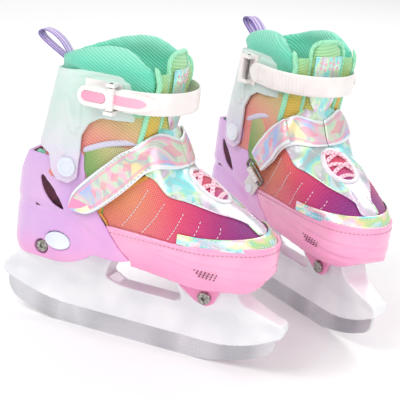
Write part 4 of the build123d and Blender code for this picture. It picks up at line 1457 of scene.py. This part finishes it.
class SKATES_OT_straps(bpy.types.Operator):
    """Builds the instep strap in its two halves, the ridged ankle strap with its inlay, and the pull loop"""

    bl_idname = "skates.straps"
    bl_label = "Straps and pull loop"

    def execute(self, context):
        thickness = size("strap_thickness")
        for side in SIDES:
            facing = finish_of(strap_cloth, side)
            mesh = bmesh.new()
            patch(mesh, lambda u, v: strap_point(0.6 * u, v, 2.9), 60, 14, (110.0, 28.0))
            flap = new_piece(
                "instep_flap", side, mesh, "flap", facing, solid=(thickness, 1), levels=1
            )
            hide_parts(f"{side}_strap_flap")
            mesh = bmesh.new()
            patch(mesh, lambda u, v: strap_point(0.6 + 0.4 * u, v, 2.9), 40, 14, (66.0, 28.0), begin=110.0)
            patch(
                mesh, lambda u, v: strap_point(0.7 + 0.29 * u, 0.04 + 0.92 * v, 5.2), 28, 14, (46.0, 28.0),
                begin=128.0
            )
            fixed = new_piece(
                "instep_band", side, mesh, "heel", facing, solid=(thickness, 1), levels=1
            )
            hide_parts(f"{side}_instep_strap")
            ivory = finish_of(ivory_strap, side)
            mesh = bmesh.new()
            tube(mesh, strap_run, 96, 20.0, 2.6, rows=28, power=0.42)
            cap_ends(mesh)
            for index in range(17):
                point, out = strap_run(0.62 + index * 0.0185)
                facing_out = Matrix.Rotation(math.atan2(out.y, out.x), 4, "Z")
                turn = Matrix.Translation(point + out * 1.2) @ facing_out
                made = bmesh.ops.create_cube(
                    mesh, size=1.0, matrix=turn @ Matrix.Diagonal((1.3, 1.7, 15.5, 1))
                )
                edges = list({edge for vert in made["verts"] for edge in vert.link_edges})
                bmesh.ops.bevel(
                    mesh, geom=edges, offset=0.35, segments=2, profile=0.5, affect="EDGES", material=-1
                )
            band = new_piece("ankle_strap", side, mesh, "ankle", ivory)
            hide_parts(f"{side}_cuff_strap")
            mesh = bmesh.new()

            def shield(u, v, low=8.6, reach=2.4):
                share = 0.012 + 0.215 * u
                point, out = strap_run(share)
                half = low * math.sqrt(max(1 - max((u - 0.25) / 0.75, 0) ** 2.4, 0.004))
                return point + out * reach + Vector((0, 0, half * (2 * v - 1)))

            patch(mesh, shield, 24, 10)
            new_piece("buckle_shield", side, mesh, "ankle", ivory, solid=(1.6, 0), levels=1)
            mesh = bmesh.new()

            def inlay(u, v):
                share = 0.014 + 0.155 * u
                point, out = strap_run(share)
                half = 4.1 * math.sqrt(max(1 - max((u - 0.6) / 0.4, 0) ** 2.2, 0.004))
                return point + out * 3.4 + Vector((0, 0, half * (2 * v - 1)))

            patch(mesh, inlay, 20, 8)
            new_piece(
                "buckle_inlay", side, mesh, "ankle", finish_of(pink_tab, side), solid=(0.9, 0),
                levels=1
            )
            loop_line = ((0.0, -96.0, 250.0), (0.12, -104, 254.5), (0.27, -114, 260), (0.4, -122.5, 265.5),
                (0.5, -125.2, 269.5),
                         (0.6, -121.5, 272.6), (0.73, -112.5, 271.2), (0.87, -102.5, 264.8), (1.0, -95.0,
                             256.0))
            mesh = bmesh.new()

            def ribbon(u, v):
                x, z = smooth_table(loop_line, u)
                return Vector((x, -6.5 + 13.0 * v, z))

            patch(mesh, ribbon, 48, 10, (90.0, 14.0))
            loop = new_piece(
                "ribbon_loop", side, mesh, "cuff", finish_of(loop_ribbon, side),
                solid=(1.0, 0), levels=1
            )
            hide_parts(f"{side}_pull_loop")
        return {"FINISHED"}


def shell_plan():
    """Outline of the toe shell in plan, round the toe: shares of its length, and rows of x, y and turn."""
    circles = ((-98.0, 0.0, 33.0), (56.0, -7.0, 43.0), (62.0, 2.0, 41.0), (80.0, 2.0, 39.0))
    rows = []
    for step in range(181):
        angle = math.radians(-95.0 + 190.0 * step / 180)
        out = Vector((math.cos(angle), math.sin(angle)))
        x, y, radius = max(circles, key=lambda c: c[0] * out.x + c[1] * out.y + c[2])
        rows.append((x + radius * out.x, y + radius * out.y, angle))
    rows = [row for row in rows if row[0] > -60]
    first, last = rows[0], rows[-1]
    rows.insert(0, (-22.0, first[1] + 0.065 * (first[0] + 22.0), first[2]))
    rows.append((-22.0, last[1] - 0.06 * (last[0] + 22.0), last[2]))
    lengths = [0.0]
    for before, after in zip(rows, rows[1:]):
        lengths.append(lengths[-1] + math.hypot(after[0] - before[0], after[1] - before[1]))
    return np.array(lengths) / lengths[-1], np.array(rows)


SHELL_SHARES, SHELL_ROWS = shell_plan()


def rim_line(u):
    """Point under the toe shell's rim with its outward direction."""
    x, y, angle = (float(np.interp(u, SHELL_SHARES, SHELL_ROWS[:, k])) for k in range(3))
    out = Vector((math.cos(angle), math.sin(angle), 0))
    return Vector((x, y, 116.0 + 0.02 * (x + 20))) + out * 0.1, out


class SKATES_OT_stitching(bpy.types.Operator):
    """Sews the visible stitch rows on the vamp, toe band, toe shell rim and instep strap"""

    bl_idname = "skates.stitching"
    bl_label = "Stitching"

    def execute(self, context):
        pitch = size("stitch_pitch")
        fan = (
            ((10, 162), (-12, 123)), ((26, 153), (8, 122)), ((44, 148), (33, 122)), ((59, 144), (55, 128)),
            ((75, 140), (75, 131))
        )
        for side in SIDES:
            rim_thread = thread_of(side, "rose_sewing_thread", "#C98FA0", "#B07888")
            mesh = bmesh.new()
            stitches(mesh, rim_line, int(330 / pitch), 2.2, 0.6, 0.5)
            new_piece("rim_stitches", side, mesh, "base", rim_thread, smooth=False)
            thread = thread_of(side, "pale_sewing_thread", colours().thread, "#D9CBD6")
            mesh = bmesh.new()
            for hand in (-1, 1):
                for (ax, az), (bx, bz) in fan:
                    def line(u, hand=hand, ax=ax, az=az, bx=bx, bz=bz):
                        bow = 1.5 * math.sin(math.pi * u)
                        x, z = ax + (bx - ax) * u + bow, az + (bz - az) * u
                        return on_upper(x, upper_turn(x, z, hand), 0.1)
                    count = max(int(math.hypot(bx - ax, bz - az) / 3.0), 3)
                    stitches(mesh, line, count, 2.0, 0.6, 0.5)
                def saddle_row(u, hand=hand):
                    share = 0.08 + 0.36 * u if hand < 0 else 0.92 - 0.36 * u
                    x, turn = saddle_outline(share)
                    return on_upper(x, turn * 0.96, 1.55)
                stitches(mesh, saddle_row, int(100 / pitch))
            slide_with(
                new_piece("vamp_stitches", side, mesh, None, thread, smooth=False), side
            )
            mesh = bmesh.new()
            for height in (0.86, 0.34):
                def band_row(u, height=height):
                    point = toe_band(0.02 + 0.96 * u, height, 2.1)
                    return point, (toe_band(0.02 + 0.96 * u, height, 3.2) - point).normalized()
                stitches(mesh, band_row, int(190 / pitch))
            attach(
                new_piece("toe_band_stitches", side, mesh, None, thread, smooth=False),
                f"{side}_base"
            )
            mesh = bmesh.new()
            for edge in (0.07, 0.93):
                def strap_row(u, edge=edge):
                    point = strap_point(0.03 + 0.56 * u, edge, 4.75)
                    return point, (strap_point(0.03 + 0.56 * u, edge, 6.0) - point).normalized()
                stitches(mesh, strap_row, int(105 / pitch * 1.2), 1.9)
            grey = thread_of(side, "grey_sewing_thread", "#B7BCC8", "#9AA0AE")
            new_piece("flap_stitches", side, mesh, "flap", grey, smooth=False)
            mesh = bmesh.new()
            for edge in (0.07, 0.93):
                def fixed_row(u, edge=edge):
                    point = strap_point(0.61 + 0.09 * u, edge, 4.75)
                    return point, (strap_point(0.61 + 0.09 * u, edge, 6.0) - point).normalized()
                stitches(mesh, fixed_row, 5, 1.9)
            new_piece("band_stitches", side, mesh, "heel", grey, smooth=False)
        return {"FINISHED"}


# ---------------------------------------------------------------- stage
def aim(thing, at):
    """Turns a light or camera to look at a point."""
    thing.rotation_mode = "QUATERNION"
    thing.rotation_quaternion = (Vector(at) - thing.location).to_track_quat("-Z", "Y")


class SKATES_OT_stage(bpy.types.Operator):
    """Sets the pale floor, soft studio lights and the camera"""

    bl_idname = "skates.stage"
    bl_label = "Studio stage"

    def execute(self, context):
        scene = context.scene
        mesh = bmesh.new()
        bmesh.ops.create_grid(mesh, x_segments=2, y_segments=2, size=6.0)
        data = bpy.data.meshes.new("studio_floor")
        mesh.to_mesh(data)
        mesh.free()
        floor = bpy.data.objects.new("studio_floor", data)
        scene.collection.objects.link(floor)
        paint = bpy.data.materials.new("matt_floor_paint")
        paint.use_nodes = True
        shader = paint.node_tree.nodes["Principled BSDF"]
        shader.inputs["Base Color"].default_value = colours().floor
        shader.inputs["Roughness"].default_value = 0.9
        data.materials.append(paint)
        world = bpy.data.worlds.new("soft_white_room")
        world.use_nodes = True
        world.node_tree.nodes["Background"].inputs["Color"].default_value = (1.0, 1.0, 1.0, 1.0)
        world.node_tree.nodes["Background"].inputs["Strength"].default_value = 0.7
        scene.world = world
        middle = (Vector(cad_box[0]) + Vector(cad_box[1])) / 2
        for name, offset, size, power in (
            ("key_softbox", (-0.9, -1.5, 1.9), 1.4, 25.0),
            ("fill_softbox", (1.7, -1.2, 1.1), 1.6, 13.0),
            ("rim_softbox", (0.4, 1.7, 1.6), 1.2, 14.0),
        ):
            lamp = bpy.data.lights.new(name, "AREA")
            lamp.shape = "SQUARE"
            lamp.size = size
            lamp.energy = power
            light = bpy.data.objects.new(name, lamp)
            scene.collection.objects.link(light)
            light.location = middle + Vector(offset)
            aim(light, middle)
        lens = bpy.data.cameras.new("studio_camera")
        lens.lens = 112.0
        lens.sensor_width = 36.0
        lens.clip_start, lens.clip_end = 0.02, 50.0
        camera = bpy.data.objects.new("studio_camera", lens)
        scene.collection.objects.link(camera)
        camera.location = PLACE["right"] @ Vector((382.8, -983.1, 488.5))
        aim(camera, PLACE["right"] @ Vector((32.9, 27.3, 139.0)))
        roll = Matrix.Rotation(math.radians(7.05), 4, "Z").to_quaternion()
        camera.rotation_quaternion = camera.rotation_quaternion @ roll
        scene.camera = camera
        scene.view_settings.view_transform = "Standard"
        return {"FINISHED"}


class SKATES_PT_panel(bpy.types.Panel):
    """Shows the skates' building steps and their settings"""

    bl_idname = "SKATES_PT_panel"
    bl_label = "Ice skates"
    bl_space_type = "VIEW_3D"
    bl_region_type = "UI"
    bl_category = "Skates"

    def draw(self, context):
        for kind in OPERATORS:
            self.layout.operator(kind.bl_idname)
        for group in (context.scene.skate_sizes, context.scene.skate_colours):
            for key in group.bl_rna.properties.keys():
                if key not in ("rna_type", "name"):
                    self.layout.prop(group, key)


OPERATORS = (
    SKATES_OT_stage, SKATES_OT_hardware, SKATES_OT_shells, SKATES_OT_details, SKATES_OT_lining,
    SKATES_OT_tongue,
    SKATES_OT_upper, SKATES_OT_laces, SKATES_OT_straps, SKATES_OT_stitching,
)


def register():
    """Registers the add-on's classes and the scene's settings."""
    for kind in (SkateSizes, SkateColours, *OPERATORS, SKATES_PT_panel):
        bpy.utils.register_class(kind)
    bpy.types.Scene.skate_sizes = bpy.props.PointerProperty(type=SkateSizes)
    bpy.types.Scene.skate_colours = bpy.props.PointerProperty(type=SkateColours)


def unregister():
    """Takes the classes and settings away again."""
    del bpy.types.Scene.skate_colours
    del bpy.types.Scene.skate_sizes
    for kind in (SKATES_PT_panel, *reversed(OPERATORS), SkateColours, SkateSizes):
        bpy.utils.unregister_class(kind)


def main():
    register()
    for kind in OPERATORS:
        group, call = kind.bl_idname.split(".")
        getattr(getattr(bpy.ops, group), call)()


if __name__ == "__main__":
    main()
